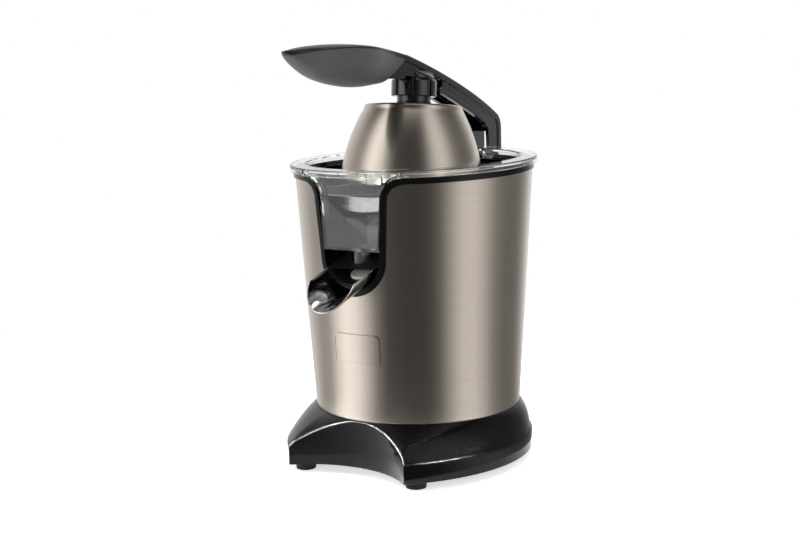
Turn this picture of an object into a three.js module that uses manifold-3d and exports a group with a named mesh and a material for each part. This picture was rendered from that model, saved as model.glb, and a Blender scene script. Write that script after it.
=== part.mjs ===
// Lever-arm electric citrus press, an assembly of separate pieces.
// Units are millimetres, +Z is up and the front of the press, with its spout, faces -Y.
// Everything is drawn about the axis of the body; the whole group is moved along Y at the end
// so that the origin lies under the middle of the assembly.
import * as THREE from "three";
import { mergeVertices } from "three/addons/utils/BufferGeometryUtils.js";
import Module from "manifold-3d";

const wasm = await Module();
wasm.setup();

// ---------------------------------------------------------------- driving dimensions
const FIT_GAP = 0.3; // air between two pieces that seat in each other
const RUN_GAP = 0.4; // air round a part that turns or slides
const FINE = 40; // facets round the large shells
const MEDIUM = 22; // facets round the dome, gears' hubs and other middling rounds
const SMALL = 12; // facets round pins, posts and screws

function toTenth(value) {
  return Math.round(value * 10) / 10;
}

// main sizes of the body shell
const seatZ = 44; // the shell stands here
const rimZ = 237.5; // top edge of the shell on the body axis
const shellRimRadius = 97.3;
const shellFlare = 12.3; // how much wider the shell is at its rim than at its foot
const shellFootRadius = shellRimRadius - shellFlare;

// feet and base
const footHeight = 8;
const footRadius = 8.2;
const footStemRadius = 3;
const baseBottomZ = 7;
const baseWall = 2.6;
const baseShoulderZ = 22.5; // top of the upright side wall
const baseMargin = 10.5; // how far the base stands out round the shell's foot
const baseRearRadius = shellFootRadius + baseMargin;
const hornX = 55; // the two corners beside the hollowed front
const hornReach = 22.5; // of those corners before the shell's foot
const hornY = -shellFootRadius - hornReach;
const frontHollowRadius = 84;
const frontHollowY = -shellFootRadius - 1.9; // deepest point of the hollowed front
const frontFootX = hornX - 1.6;
const frontFootY = hornY + 19.9;
const rearFootY = baseRearRadius - 33.5;
const basePlateThickness = 2.5;
const basePlateBottomZ = footHeight;
const baseScrewRadius = 1.6;

// body shell
const shellWall = 0.8;
const rimSlope = 2.2; // degrees, the whole rim falls towards the front

// window and the black moulding that lines it
const windowHalfWidth = 33.8;
const windowTaper = 3.3; // how much narrower each side is at the bottom
const windowLowHalfWidth = windowHalfWidth - windowTaper;
const windowDrop = 91.5; // from the rim to the window's lowest point
const windowBottomZ = rimZ - windowDrop;
const windowFlare = 12; // radius of the corners that flare out to the rim
const windowTrim = 4.6;
const liningProud = 1.2;

// rim ring, tub and deck of the upper housing, heights above the rim plane
const ringHeight = 5;
const ringProud = 1.6;
const ringWidth = 6.9; // from the steel's rim in to the bowl's room
const ringInnerRadius = shellRimRadius - ringWidth;
const tubWall = 2.2;
const tubCorner = 4; // bevel where the tub's wall meets the deck
const deckDepth = 41.4;
const deckThickness = 2.6;
const towerRadius = 11;
const towerDrop = 18.5; // from the rim down to the tower's top
const towerTopZ = rimZ - towerDrop;

// juice bowl
const flangeOverhang = 4.1; // beyond the steel's rim
const flangeRadius = shellRimRadius + flangeOverhang;
const flangeTop = 10.5; // above the rim plane
const flangePlate = 2.4;
const bowlWall = 2.2;
const bowlFloorDepth = 35.5;
const pocketSetback = 5.8; // of the pocket's front from the steel's rim
const pocketLength = 31.5;
const pocketFrontY = pocketSetback - shellRimRadius;
const pocketBackY = pocketFrontY + pocketLength;
const pocketDrop = 55.5; // from the rim down to the pocket's underside
const pocketBottomZ = rimZ - pocketDrop;
const nozzleSetback = 15.5; // of the nozzle from the pocket's front
const nozzleY = pocketFrontY + nozzleSetback;
const nozzleRadius = 8.3;
const chimneyRise = 6.5; // of the clear chimney above the tower
const chimneyTopZ = towerTopZ + chimneyRise;
const recessBackY = nozzleY + 21; // back wall of the black recess behind the nozzle

// pulp filter
const filterMargin = 10.4; // air and lip between the filter's wall and the ring
const filterRadius = ringInnerRadius - filterMargin;
const filterSheet = 1.2;
const filterWallHeight = 12;

// dome and its fastening, in a frame that leans back with the closed arm
const domeLean = 5; // degrees
const collarY = 2.5;
const collarRise = 61.5; // of the collar's foot above the rim
const collarBottomZ = rimZ + collarRise;
const collarHeight = 13.6;
const collarRadius = 18.7;
const neckRadius = 14.6;
const neckHeight = 8;
const domeTopRadius = 40;
const domeRimRadius = 58.8;
const domeHeight = 65;
const domeBulge = 3.6;
const domeShoulder = 2.4;
const domeWall = 1.2;
const linerWall = 1.6;

// hinge bracket on the back of the upper housing
const bracketHalfWidth = 18;
const bracketProud = 1.7; // how far its seat stands out from the steel's rim
const bracketFaceY = shellRimRadius + bracketProud;
const bracketBottomZ = rimZ - 24.5;
const bracketTopZ = rimZ + 2.7;
const bracketScrewX = 11;
const bracketScrewZ = rimZ - 16.5;
const padDepth = 11; // of the housing's pad behind the bracket

// arm
const hingeReach = 19; // from the bracket's seat back to the hinge
const hingeDrop = 5.5; // from the rim down to the hinge
const hingeY = bracketFaceY + hingeReach;
const hingeZ = rimZ - hingeDrop;
const hingePinRadius = 3;
const armEyeRadius = 10.7;
const armHalfWidth = 11;
const armWallHalfWidth = 9.8;
const forkHalfGap = 6.8;
const armSkin = 3.2;
const armBand = 6; // height of the proud band along the arm's edge
const seamY = -23; // top of the seam between grip and arm
const seamTopZ = collarBottomZ + 32.9;
const seamLowY = -46;
const armUndersideZ = collarBottomZ + 14;
const slitTopZ = hingeZ + 35;
const gripTipY = -167.3;
const gripTipZ = collarBottomZ + 35.2;
const gripEndY = -14; // where the grip would end if the seam did not cut it
const gripHalfWidth = 22;

// spout
const spoutY = nozzleY - 4;
const spoutTilt = 16.5; // degrees, rest position
const spoutSideGap = 4.6; // air between the trough and the side of the recess
const spoutHalfWidth = windowLowHalfWidth - windowTrim - spoutSideGap;
const spoutDepth = 16.7;
const spoutUnderGap = 1.14; // height of the trough over the surround's sill
const sillReach = shellRadius(windowBottomZ) + liningProud + spoutY; // sill before the spout's origin
const spoutFall = sillReach * Math.tan((spoutTilt * Math.PI) / 180);
const spoutZ = toTenth(windowBottomZ + windowTrim + spoutDepth + spoutFall + spoutUnderGap);
const nozzleBottomZ = spoutZ - 4;
const spoutSheet = 1;
const spoutSideLength = 39.7;
const spoutScoop = 20.5; // how far the lowest point runs out beyond the side edges
const spoutBackLength = 8; // where the steel begins
const spoutPivotY = nozzleY + 12;
const spoutPivotZ = spoutZ - 14.2;
const spoutPinRadius = 2;
const padInset = 11.3; // of the pad's edge from the trough's
const padRadius = spoutHalfWidth - padInset;
const padThickness = 2;
const padY = nozzleY - 0.5;
const padZ = nozzleBottomZ - 4.4;
const spoutTravel = 20; // degrees that the spout tips up to shut the nozzle

// drive
const shaftRadius = 4;
const hexHeadRadius = 6;
const stroke = 2.5; // the cone sinks this far to start the motor
const gearPlateBottomZ = 128;
const gearPlateThickness = 3;
const gearCoverBottomZ = 166;
const gearCoverTopZ = gearCoverBottomZ + gearPlateThickness;
const firstModule = 1;
const secondModule = 1.5;
const pinionTeeth = 12;
const wheelTeeth = 60;
const layPinionTeeth = 14;
const outputTeeth = 44;
const motorBearing = 40; // degrees between the line of the gear axes and the motor's offset
const motorRadius = 32;
const motorShaftRadius = 3;
const reamerRadius = 33;
const reamerGap = 5; // from the tower's top to the cone
const reamerBottomZ = towerTopZ + reamerGap;
const reamerHeight = 41;
const reamerRibs = 10;
const springRadius = 9;
const springWire = 0.8;
const cupTopZ = 185.8;

// badge
const badgeWidth = 43;
const badgeHeight = 24;
const badgeZ = 103.7;
const badgeThickness = 1;

// ---------------------------------------------------------------- colours and materials
function finish(color, roughness, metalness, extra = {}) {
  return new THREE.MeshStandardMaterial({ color, roughness, metalness, ...extra });
}
const champagneSteel = finish(0xb5a99d, 0.35, 1);
const polishedSteel = finish(0xd8d8d8, 0.1, 1);
const plainSteel = finish(0x9a9a9a, 0.4, 1);
const glossBlack = finish(0x0c0c0d, 0.15, 0);
const satinBlack = finish(0x17181a, 0.45, 0);
const softGrey = finish(0x3a3a3c, 0.6, 0);
const clearPlastic = finish(0xdfe3e4, 0.08, 0, { transparent: true, opacity: 0.35 });
const darkRubber = finish(0x141414, 0.8, 0);
const paleSilicone = finish(0xd9dedb, 0.5, 0);
const gearPlastic = finish(0xe6e2d6, 0.5, 0);
const bronze = finish(0x9c7440, 0.4, 1);
const copperRed = finish(0x8a4a2a, 0.45, 0.6);

// ---------------------------------------------------------------- solids
const DEG = Math.PI / 180;

function toManifold(geometry) {
  const bare = geometry.clone();
  for (const name of Object.keys(bare.attributes)) {
    if (name !== "position") bare.deleteAttribute(name);
  }
  const merged = mergeVertices(bare, 1e-4);
  let index = Uint32Array.from(merged.index.array);
  index = dropFlatTriangles(index);
  const mesh = new wasm.Mesh({
    numProp: 3,
    vertProperties: Float32Array.from(merged.attributes.position.array),
    triVerts: index,
  });
  return new wasm.Manifold(mesh);
}

// Triangles that lost a corner when vertices were merged, such as those at a lathe's pole.
function dropFlatTriangles(index) {
  const kept = [];
  for (let i = 0; i < index.length; i += 3) {
    const [a, b, c] = [index[i], index[i + 1], index[i + 2]];
    if (a !== b && b !== c && c !== a) kept.push(a, b, c);
  }
  return Uint32Array.from(kept);
}

function toGeometry(solid) {
  const bodies = solid.simplify(0.01).decompose();
  const mesh = bodies.sort((a, b) => b.volume() - a.volume())[0].getMesh();
  const geometry = new THREE.BufferGeometry();
  geometry.setAttribute("position", new THREE.BufferAttribute(mesh.vertProperties, 3));
  geometry.setIndex(new THREE.BufferAttribute(mesh.triVerts, 1));
  return geometry;
}

function join(first, ...others) {
  return others.reduce((sum, other) => sum.add(other), first);
}

function cut(solid, ...tools) {
  return tools.reduce((rest, tool) => rest.subtract(tool), solid);
}

// A solid of revolution about Z. The profile is a closed run of [radius, height] points.
function revolve(profile, facets = FINE) {
  const points = profile.map(([radius, height]) => new THREE.Vector2(radius, height));
  points.push(points[0].clone());
  const geometry = new THREE.LatheGeometry(points, facets);
  geometry.rotateX(Math.PI / 2);
  return toManifold(outward(geometry));
}

// Turns a closed geometry inside out if its volume comes out negative.
function outward(geometry) {
  const position = geometry.attributes.position;
  const index = geometry.index.array;
  const [a, b, c] = [new THREE.Vector3(), new THREE.Vector3(), new THREE.Vector3()];
  let volume = 0;
  for (let i = 0; i < index.length; i += 3) {
    a.fromBufferAttribute(position, index[i]);
    b.fromBufferAttribute(position, index[i + 1]);
    c.fromBufferAttribute(position, index[i + 2]);
    volume += a.dot(b.cross(c));
  }
  if (volume < 0) {
    for (let i = 0; i < index.length; i += 3) {
      [index[i + 1], index[i + 2]] = [index[i + 2], index[i + 1]];
    }
  }
  return geometry;
}

function moved(geometry, x, y, z) {
  return toManifold(geometry.translate(x, y, z));
}

function block(x0, x1, y0, y1, z0, z1) {
  const geometry = new THREE.BoxGeometry(x1 - x0, y1 - y0, z1 - z0);
  return moved(geometry, (x0 + x1) / 2, (y0 + y1) / 2, (z0 + z1) / 2);
}

// An upright cylinder, round or with few sides, standing on z0.
function post(radius, z0, z1, x = 0, y = 0, facets = SMALL) {
  const geometry = new THREE.CylinderGeometry(radius, radius, z1 - z0, facets);
  geometry.rotateX(Math.PI / 2);
  return moved(geometry, x, y, (z0 + z1) / 2);
}

// A cylinder lying along X.
function barX(radius, x0, x1, y, z, facets = SMALL) {
  const geometry = new THREE.CylinderGeometry(radius, radius, x1 - x0, facets);
  geometry.rotateZ(Math.PI / 2);
  return moved(geometry, (x0 + x1) / 2, y, z);
}

// A cylinder lying along Y.
function barY(radius, y0, y1, x, z, facets = SMALL) {
  return moved(new THREE.CylinderGeometry(radius, radius, y1 - y0, facets), x, (y0 + y1) / 2, z);
}

// A shape drawn in (x, z), given depth along Y.
function extrudeY(shape, y0, y1, curveSegments = 6) {
  const geometry = new THREE.ExtrudeGeometry(shape, {
    depth: y1 - y0, bevelEnabled: false, curveSegments,
  });
  geometry.rotateX(Math.PI / 2);
  return moved(geometry, 0, y1, 0);
}

// A shape drawn in (y, z), given depth along X about the middle plane.
function extrudeX(shape, halfWidth, curveSegments = 10) {
  const geometry = new THREE.ExtrudeGeometry(shape, {
    depth: 2 * halfWidth, bevelEnabled: false, curveSegments,
  });
  geometry.rotateY(Math.PI / 2).rotateX(Math.PI / 2);
  return moved(geometry, -halfWidth, 0, 0);
}

// A shape drawn in (x, y), given height along Z.
function extrudeZ(shape, z0, z1, curveSegments = 10) {
  const geometry = new THREE.ExtrudeGeometry(shape, {
    depth: z1 - z0, bevelEnabled: false, curveSegments,
  });
  return moved(geometry, 0, 0, z0);
}

// A skin through rings of equal count, closed by a fan at each end.
function loft(rings) {
  const count = rings[0].length;
  const positions = [];
  for (const ring of rings) for (const point of ring) positions.push(...point);
  const index = [];
  for (let level = 0; level < rings.length - 1; level++) {
    for (let i = 0; i < count; i++) {
      const a = level * count + i;
      const b = level * count + ((i + 1) % count);
      index.push(a, b, b + count, a, b + count, a + count);
    }
  }
  for (const level of [0, rings.length - 1]) {
    const centre = positions.length / 3;
    const middle = [0, 1, 2].map((k) => rings[level].reduce((sum, p) => sum + p[k], 0) / count);
    positions.push(...middle);
    for (let i = 0; i < count; i++) {
      const a = level * count + i;
      const b = level * count + ((i + 1) % count);
      if (level === 0) index.push(centre, b, a);
      else index.push(centre, a, b);
    }
  }
  const geometry = new THREE.BufferGeometry();
  geometry.setAttribute("position", new THREE.Float32BufferAttribute(positions, 3));
  geometry.setIndex(new THREE.BufferAttribute(Uint32Array.from(index), 1));
  return toManifold(outward(geometry));
}

// ---------------------------------------------------------------- shared forms
const juicer = new THREE.Group();

function add(name, solid, material, parent = juicer) {
  const mesh = new THREE.Mesh(toGeometry(solid), material);
  mesh.name = name;
  parent.add(mesh);
  return mesh;
}

// The body shell is a cone that widens upwards.
function shellRadius(z) {
  const taper = (shellRimRadius - shellFootRadius) / (rimZ - seatZ);
  return shellFootRadius + taper * (z - seatZ);
}

// A conical body that stands a little proud of, or inside, the shell's outer face.
function shellCone(offset, z0, z1) {
  return revolve([[0, z0], [shellRadius(z0) + offset, z0], [shellRadius(z1) + offset, z1], [0, z1]]);
}

// Heights "above the rim" are measured from a plane that falls towards the front.
function onRim(solid) {
  const matrix = new THREE.Matrix4().makeRotationX(rimSlope * DEG).setPosition(0, 0, rimZ);
  return solid.transform(matrix.elements);
}

function rimHeight(height, y) {
  return rimZ + height + Math.tan(rimSlope * DEG) * y;
}

// Everything above a height over the rim plane.
function aboveRim(height) {
  return onRim(block(-150, 150, -150, 150, height, height + 120));
}

// The U-shaped window, open to the rim, with corners that flare outwards at the top.
// An inset draws the same outline that much inside the steel's edge.
function windowShape(inset) {
  const topHalf = windowHalfWidth - inset;
  const lowHalf = windowLowHalfWidth - inset;
  const flare = windowFlare + inset;
  const topZ = rimHeight(0, -shellRimRadius) + inset;
  const lowZ = windowBottomZ + windowLowHalfWidth;
  const outer = topHalf + flare;
  const shape = new THREE.Shape();
  shape.moveTo(-outer, topZ + 30);
  shape.lineTo(-outer, topZ);
  shape.absarc(-outer, topZ - flare, flare, Math.PI / 2, 0, true);
  shape.lineTo(-lowHalf, lowZ);
  shape.absarc(0, lowZ, lowHalf, Math.PI, 2 * Math.PI, false);
  shape.lineTo(topHalf, topZ - flare);
  shape.absarc(outer, topZ - flare, flare, Math.PI, Math.PI / 2, true);
  shape.lineTo(outer, topZ + 30);
  shape.closePath();
  return shape;
}

// ---------------------------------------------------------------- base
// Distance of the base's outline from the body axis; the angle is measured from the rear.
function baseOutline(angle) {
  const hornAngle = Math.PI - Math.atan2(hornX, -hornY);
  const hornRadius = Math.hypot(hornX, hornY);
  const start = 60 * DEG;
  if (angle > hornAngle) return -hornY / Math.abs(Math.cos(angle));
  const share = Math.max(0, (angle - start) / (hornAngle - start));
  return baseRearRadius + (hornRadius - baseRearRadius) * share ** 2.3;
}

function baseRing(z, inset, blend = 0, seatRadius = 0) {
  const ring = [];
  for (let i = 0; i < FINE; i++) {
    const turn = (2 * Math.PI * i) / FINE;
    const fromRear = turn <= Math.PI ? turn : 2 * Math.PI - turn;
    const radius = (baseOutline(fromRear) - inset) * (1 - blend) + seatRadius * blend;
    ring.push([radius * Math.sin(turn), radius * Math.cos(turn), z]);
  }
  return ring;
}

function frontHollow(wall, z0, z1) {
  const centreY = frontHollowY - frontHollowRadius;
  return post(frontHollowRadius + wall, z0, z1, 0, centreY, FINE + 12);
}

const footPlaces = [
  ["foot_front_left", -frontFootX, frontFootY],
  ["foot_front_right", frontFootX, frontFootY],
  ["foot_rear_left", -frontFootX, rearFootY],
  ["foot_rear_right", frontFootX, rearFootY],
];
const baseScrewPlaces = [[-67, 39], [67, 39], [67, -39], [-67, -39]];
const basePlateTopZ = basePlateBottomZ + basePlateThickness;
const seatLipRadius = shellFootRadius + FIT_GAP;
const slopeTopRadius = seatLipRadius + 0.9;
const slopeTopZ = seatZ + 1.2;

function buildBaseHousing() {
  const outside = loft([
    baseRing(baseBottomZ, 1),
    baseRing(baseShoulderZ, 0),
    baseRing(baseShoulderZ + 2.5, 2),
    baseRing((baseShoulderZ + slopeTopZ) / 2 + 3, 0, 0.52, slopeTopRadius + 2),
    baseRing(slopeTopZ, 0, 1, slopeTopRadius),
  ]);
  const floorZ = seatZ - baseWall;
  const inside = loft([
    baseRing(baseBottomZ - 1, 1 + baseWall),
    baseRing(baseShoulderZ, baseWall),
    baseRing(baseShoulderZ + 1.5, 3 + baseWall),
    baseRing((baseShoulderZ + slopeTopZ) / 2 + 0.5, 1.2 * baseWall, 0.55, slopeTopRadius - 1),
    baseRing(floorZ, 0, 1, slopeTopRadius - 1.5 * baseWall),
  ]);
  const shellHollow = inside.subtract(frontHollow(baseWall, 0, 60));
  let base = cut(
    outside,
    frontHollow(0, 0, 60),
    shellHollow,
    post(seatLipRadius, seatZ, seatZ + 5, 0, 0, FINE),
    post(shellFootRadius - 13, 0, 60, 0, 0, FINE),
  );
  for (const [x, y] of baseScrewPlaces) {
    base = base.add(post(4, basePlateTopZ, floorZ + 1, x, y, 12));
    base = base.subtract(post(baseScrewRadius + FIT_GAP, 0, 26, x, y, 12));
  }
  const [boreFrontY, boreBackY] = [baseRearRadius - 15.5, baseRearRadius + 14.5];
  return base.subtract(barY(glandRadius - 1.2, boreFrontY, boreBackY, 0, glandZ));
}

function buildBasePlate() {
  const inset = 1 + baseWall + FIT_GAP;
  let plate = loft([baseRing(basePlateBottomZ, inset), baseRing(basePlateTopZ, inset)]);
  plate = plate.subtract(frontHollow(baseWall + FIT_GAP, 0, 60));
  for (let row = -2; row <= 2; row++) {
    plate = plate.subtract(block(-26, 26, 14 * row - 2, 14 * row + 2, 0, 20));
  }
  for (const [, x, y] of footPlaces) {
    plate = plate.subtract(post(footStemRadius + FIT_GAP, 0, 20, x, y, 12));
  }
  for (const [x, y] of baseScrewPlaces) {
    plate = cut(
      plate,
      post(baseScrewRadius + FIT_GAP, 0, 20, x, y, 12),
      post(3.8, 0, basePlateBottomZ + 1.2, x, y, 16),
    );
  }
  return plate;
}

function buildFoot() {
  return revolve([
    [0, 0], [footRadius - 1.2, 0], [footRadius, 1.2], [footRadius, footHeight],
    [footStemRadius, footHeight], [footStemRadius, basePlateTopZ + FIT_GAP],
    [footStemRadius + 1, basePlateTopZ + FIT_GAP + 0.6],
    [footStemRadius - 1, basePlateTopZ + 3], [0, basePlateTopZ + 3],
  ], SMALL);
}

function buildBaseScrew() {
  const headTop = basePlateBottomZ + 1.2;
  return revolve([
    [0, headTop - 1], [3.4, headTop - 1], [3.4, headTop],
    [baseScrewRadius, headTop], [baseScrewRadius, 22], [0, 24],
  ], 12);
}

// A moulded grommet in the rear wall, through which the mains lead would pass.
const glandRadius = 5.8;
const glandZ = 16.8;
function buildCordGland() {
  const wallY = baseRearRadius - 0.45;
  const gland = revolve([
    [3.2, -baseWall - 2.4], [glandRadius, -baseWall - 2.4], [glandRadius, -baseWall - 0.8],
    [glandRadius - 1.5, -baseWall - 0.8], [glandRadius - 1.5, 0.7],
    [glandRadius, 0.7], [glandRadius - 0.8, 2.7], [3.2, 2.7],
  ], SMALL);
  const matrix = new THREE.Matrix4().makeRotationX(-Math.PI / 2).setPosition(0, wallY, glandZ);
  return gland.transform(matrix.elements);
}

// ---------------------------------------------------------------- body shell and badge
function buildBodyShell() {
  const innerFoot = shellFootRadius - shellWall;
  const tallZ = rimZ + 8;
  let shell = revolve([
    [shellFootRadius - 3.5, seatZ], [shellFootRadius, seatZ], [shellRadius(tallZ), tallZ],
    [shellRadius(tallZ) - shellWall, tallZ], [innerFoot, seatZ + shellWall],
    [shellFootRadius - 3.5, seatZ + shellWall],
  ]);
  shell = cut(shell, aboveRim(0), extrudeY(windowShape(0), -130, -40));
  const notch = bracketHalfWidth + FIT_GAP;
  return shell.subtract(block(-notch, notch, 60, hingeY + 2, bracketBottomZ - FIT_GAP, rimZ + 60));
}

function roundedRectangle(width, height, radius, centreY) {
  const [x, y] = [width / 2, height / 2];
  const shape = new THREE.Shape();
  shape.moveTo(-x + radius, centreY - y);
  shape.absarc(x - radius, centreY - y + radius, radius, -Math.PI / 2, 0, false);
  shape.absarc(x - radius, centreY + y - radius, radius, 0, Math.PI / 2, false);
  shape.absarc(-x + radius, centreY + y - radius, radius, Math.PI / 2, Math.PI, false);
  shape.absarc(-x + radius, centreY - y + radius, radius, Math.PI, 1.5 * Math.PI, false);
  shape.closePath();
  return shape;
}

function buildBadge() {
  const [z0, z1] = [badgeZ - badgeHeight, badgeZ + badgeHeight];
  const outline = extrudeY(roundedRectangle(badgeWidth, badgeHeight, 4, badgeZ), -110, -60, 4);
  const layer = shellCone(badgeThickness, z0, z1).subtract(shellCone(FIT_GAP / 2, z0 - 1, z1 + 1));
  return outline.intersect(layer);
}

// ---------------------------------------------------------------- upper housing
const towerHoleRadius = 7.2;
const pinHoleEnd = spoutHalfWidth + spoutSideGap + 0.1;
const gearPostPlaces = [[-36, -32], [36, -32], [36, 54], [-36, 54]];

function buildUpperHousing() {
  const ringRadius = shellRimRadius + ringProud;
  const skirt = shellRimRadius - shellWall - 0.5;
  const landHeight = flangeTop - flangePlate - FIT_GAP; // the bowl's flange rests here
  const rimAndTub = onRim(revolve([
    [ringInnerRadius, landHeight], [ringRadius - 0.6, landHeight],
    [ringRadius - 0.6, ringHeight], [ringRadius, ringHeight - 0.4], [ringRadius, FIT_GAP],
    [skirt, FIT_GAP], [skirt - 0.8, -12], [skirt - 2.8, -12],
    [ringInnerRadius + tubWall, -7], [ringInnerRadius + tubWall - 0.8, tubCorner - deckDepth],
    [ringInnerRadius - tubCorner + 2, -deckDepth - deckThickness], [0, -deckDepth - deckThickness],
    [0, -deckDepth], [ringInnerRadius - tubCorner, -deckDepth],
    [ringInnerRadius, tubCorner - deckDepth],
  ]));

  const liningFace = shellCone(liningProud, windowBottomZ - 4, rimZ + 10);
  const liningGap = 0.3;
  let lining = extrudeY(windowShape(liningGap), -120, recessBackY + 2.5);
  lining = lining.intersect(liningFace).subtract(aboveRim(ringHeight));

  let housing = rimAndTub.add(lining);
  for (const [x, y] of gearPostPlaces) {
    housing = housing.add(post(4.5, gearCoverTopZ, rimHeight(-deckDepth - 1, y), x, y, 12));
  }
  const padFrontY = bracketFaceY - padDepth;
  const pad = block(
    -bracketHalfWidth, bracketHalfWidth, padFrontY, bracketFaceY, bracketBottomZ, bracketTopZ,
  );
  const deckZ = rimHeight(-deckDepth - deckThickness, 0);
  const bowlRoom = onRim(revolve([
    [0, -deckDepth], [ringInnerRadius - tubCorner, -deckDepth],
    [ringInnerRadius, tubCorner - deckDepth], [ringInnerRadius, 40], [0, 40],
  ]));
  housing = housing.add(pad).subtract(bowlRoom);
  housing = housing.add(post(towerRadius, deckZ - 2, towerTopZ, 0, 0, MEDIUM));
  housing = cut(
    housing,
    extrudeY(windowShape(windowTrim), -120, recessBackY),
    post(towerHoleRadius, deckZ - 10, towerTopZ - 2.8, 0, 0, MEDIUM),
    post(shaftRadius + 1.2, deckZ - 10, towerTopZ + 5),
    barX(spoutPinRadius + FIT_GAP, -pinHoleEnd, pinHoleEnd, spoutPivotY, spoutPivotZ),
  );
  const [pilotFrontY, pilotBackY] = [padFrontY + 2.5, hingeY - 8];
  for (const x of [-bracketScrewX, bracketScrewX]) {
    housing = housing.subtract(barY(1.9, pilotFrontY, pilotBackY, x, bracketScrewZ, 12));
  }
  return housing;
}

// ---------------------------------------------------------------- hinge bracket at the back
function buildHingeBracket() {
  const plateBackY = bracketFaceY + 6;
  const knuckle = forkHalfGap - FIT_GAP;
  const plate = block(
    -bracketHalfWidth, bracketHalfWidth, bracketFaceY, plateBackY, bracketBottomZ, bracketTopZ,
  );
  const arm = block(-knuckle, knuckle, plateBackY - 1, hingeY, hingeZ - 8.5, hingeZ + 7);
  let bracket = join(plate, arm, barX(8.5, -knuckle, knuckle, hingeY, hingeZ, MEDIUM));
  bracket = bracket.subtract(barX(hingePinRadius + FIT_GAP, -20, 20, hingeY, hingeZ));
  for (const side of [-1, 1]) {
    bracket = cut(
      bracket,
      barY(1.9, bracketFaceY - 9, hingeY + 2, side * bracketScrewX, bracketScrewZ, 12),
      barY(3.9, plateBackY - 2.5, hingeY + 2, side * bracketScrewX, bracketScrewZ, 16),
    );
  }
  return bracket;
}

function buildBracketScrew(side) {
  const x = side * bracketScrewX;
  const headY = bracketFaceY + 3.5;
  return join(
    barY(1.6, headY - 10, headY + 1, x, bracketScrewZ, 12),
    barY(3.5, headY, headY + 2, x, bracketScrewZ, 16),
  );
}

function buildHingePin() {
  const [inner, outer] = [armWallHalfWidth + FIT_GAP, armWallHalfWidth + 2];
  return join(
    barX(hingePinRadius, -outer + 0.5, outer - 0.5, hingeY, hingeZ),
    barX(5, -outer, -inner, hingeY, hingeZ),
    barX(5, inner, outer, hingeY, hingeZ),
  );
}

// ---------------------------------------------------------------- juice bowl and filter
const pocketGap = 0.5;

function buildJuiceBowl() {
  const outerRadius = ringInnerRadius - 0.7;
  const innerRadius = outerRadius - bowlWall;
  const skirtBottom = ringHeight + FIT_GAP;
  const cup = onRim(revolve([
    [0, -bowlFloorDepth - bowlWall], [outerRadius - 4, -bowlFloorDepth - bowlWall],
    [outerRadius, -bowlFloorDepth + 2], [outerRadius, flangeTop - flangePlate],
    [flangeRadius - 2.1, flangeTop - flangePlate], [flangeRadius - 2.1, skirtBottom],
    [flangeRadius, skirtBottom], [flangeRadius, flangeTop - 0.8],
    [flangeRadius - 0.8, flangeTop], [0, flangeTop],
  ]));
  const hollow = onRim(revolve([
    [0, -bowlFloorDepth], [innerRadius - 4, -bowlFloorDepth], [innerRadius, -bowlFloorDepth + 4],
    [innerRadius, flangeTop + 1], [0, flangeTop + 1],
  ]));
  const pocketOutline = windowShape(windowTrim + pocketGap);
  const pocketBore = windowShape(windowTrim + pocketGap + bowlWall);
  const pocketTop = aboveRim(flangeTop - 1);
  const below = block(-60, 60, -120, -30, 100, pocketBottomZ);
  const belowBore = block(-60, 60, -120, -30, 100, pocketBottomZ + bowlWall);
  const pocket = cut(extrudeY(pocketOutline, pocketFrontY, pocketBackY), below, pocketTop);
  const boreEnd = pocketBackY - bowlWall;
  const underPlate = aboveRim(flangeTop - flangePlate);
  const pocketHollow = cut(extrudeY(pocketBore, pocketFrontY + bowlWall, boreEnd), belowBore, underPlate);

  const chimneyFoot = rimHeight(-bowlFloorDepth - bowlWall / 2, 0);
  const ledge = onRim(revolve([
    [filterRadius - 8, -bowlFloorDepth - 1], [filterRadius - 6, -bowlFloorDepth - 1],
    [filterRadius - 6, filterSeat - FIT_GAP], [filterRadius - 8, filterSeat - FIT_GAP],
  ], FINE)).subtract(extrudeY(pocketBore, pocketFrontY, boreEnd));
  let bowl = cup.add(pocket).subtract(hollow).subtract(pocketHollow);
  bowl = join(bowl, post(towerRadius + 2.9, chimneyFoot, chimneyTopZ, 0, 0, MEDIUM), ledge);
  bowl = bowl.subtract(post(towerRadius + 0.9, chimneyFoot - 20, chimneyTopZ + 20, 0, 0, MEDIUM));
  bowl = bowl.add(post(nozzleRadius, nozzleBottomZ, pocketBottomZ + 1, 0, nozzleY, MEDIUM));
  bowl = bowl.subtract(post(nozzleRadius - 1.8, nozzleBottomZ - 5, pocketBottomZ + 3, 0, nozzleY, MEDIUM));
  return bowl.add(buildLatchTab());
}

// The small catch that hangs from the flange beside the window.
function buildLatchTab() {
  const top = rimHeight(flangeTop - flangePlate + 0.5, -shellRimRadius - 0.7);
  const [x, y] = [windowHalfWidth - 1.8, pocketFrontY - 1.1];
  return block(x - 14, x, y - 2.2, y, top - 8.5, top);
}

const filterSeat = -bowlFloorDepth + 7.4; // above the rim plane
const filterHubRadius = towerRadius + 2.9 + 1.2;

function buildPulpFilter() {
  const low = filterSeat;
  const high = low + filterWallHeight;
  let filter = revolve([
    [filterHubRadius, low], [filterRadius, low], [filterRadius, high],
    [filterRadius + 3, high], [filterRadius + 3, high + filterSheet],
    [filterRadius - filterSheet, high + filterSheet], [filterRadius - filterSheet, low + filterSheet],
    [filterHubRadius + filterSheet, low + filterSheet], [filterHubRadius + filterSheet, low + 6],
    [filterHubRadius, low + 6],
  ], FINE);
  const slotRows = [[26, 44, 10], [50, 72, 22]];
  for (const [inner, outer, count] of slotRows) {
    for (let i = 0; i < count; i++) {
      const slot = new THREE.BoxGeometry(outer - inner, 2, 6);
      slot.translate((inner + outer) / 2, 0, low);
      slot.rotateZ((2 * Math.PI * (i + 0.5)) / count);
      filter = filter.subtract(toManifold(slot));
    }
  }
  return onRim(filter);
}

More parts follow.
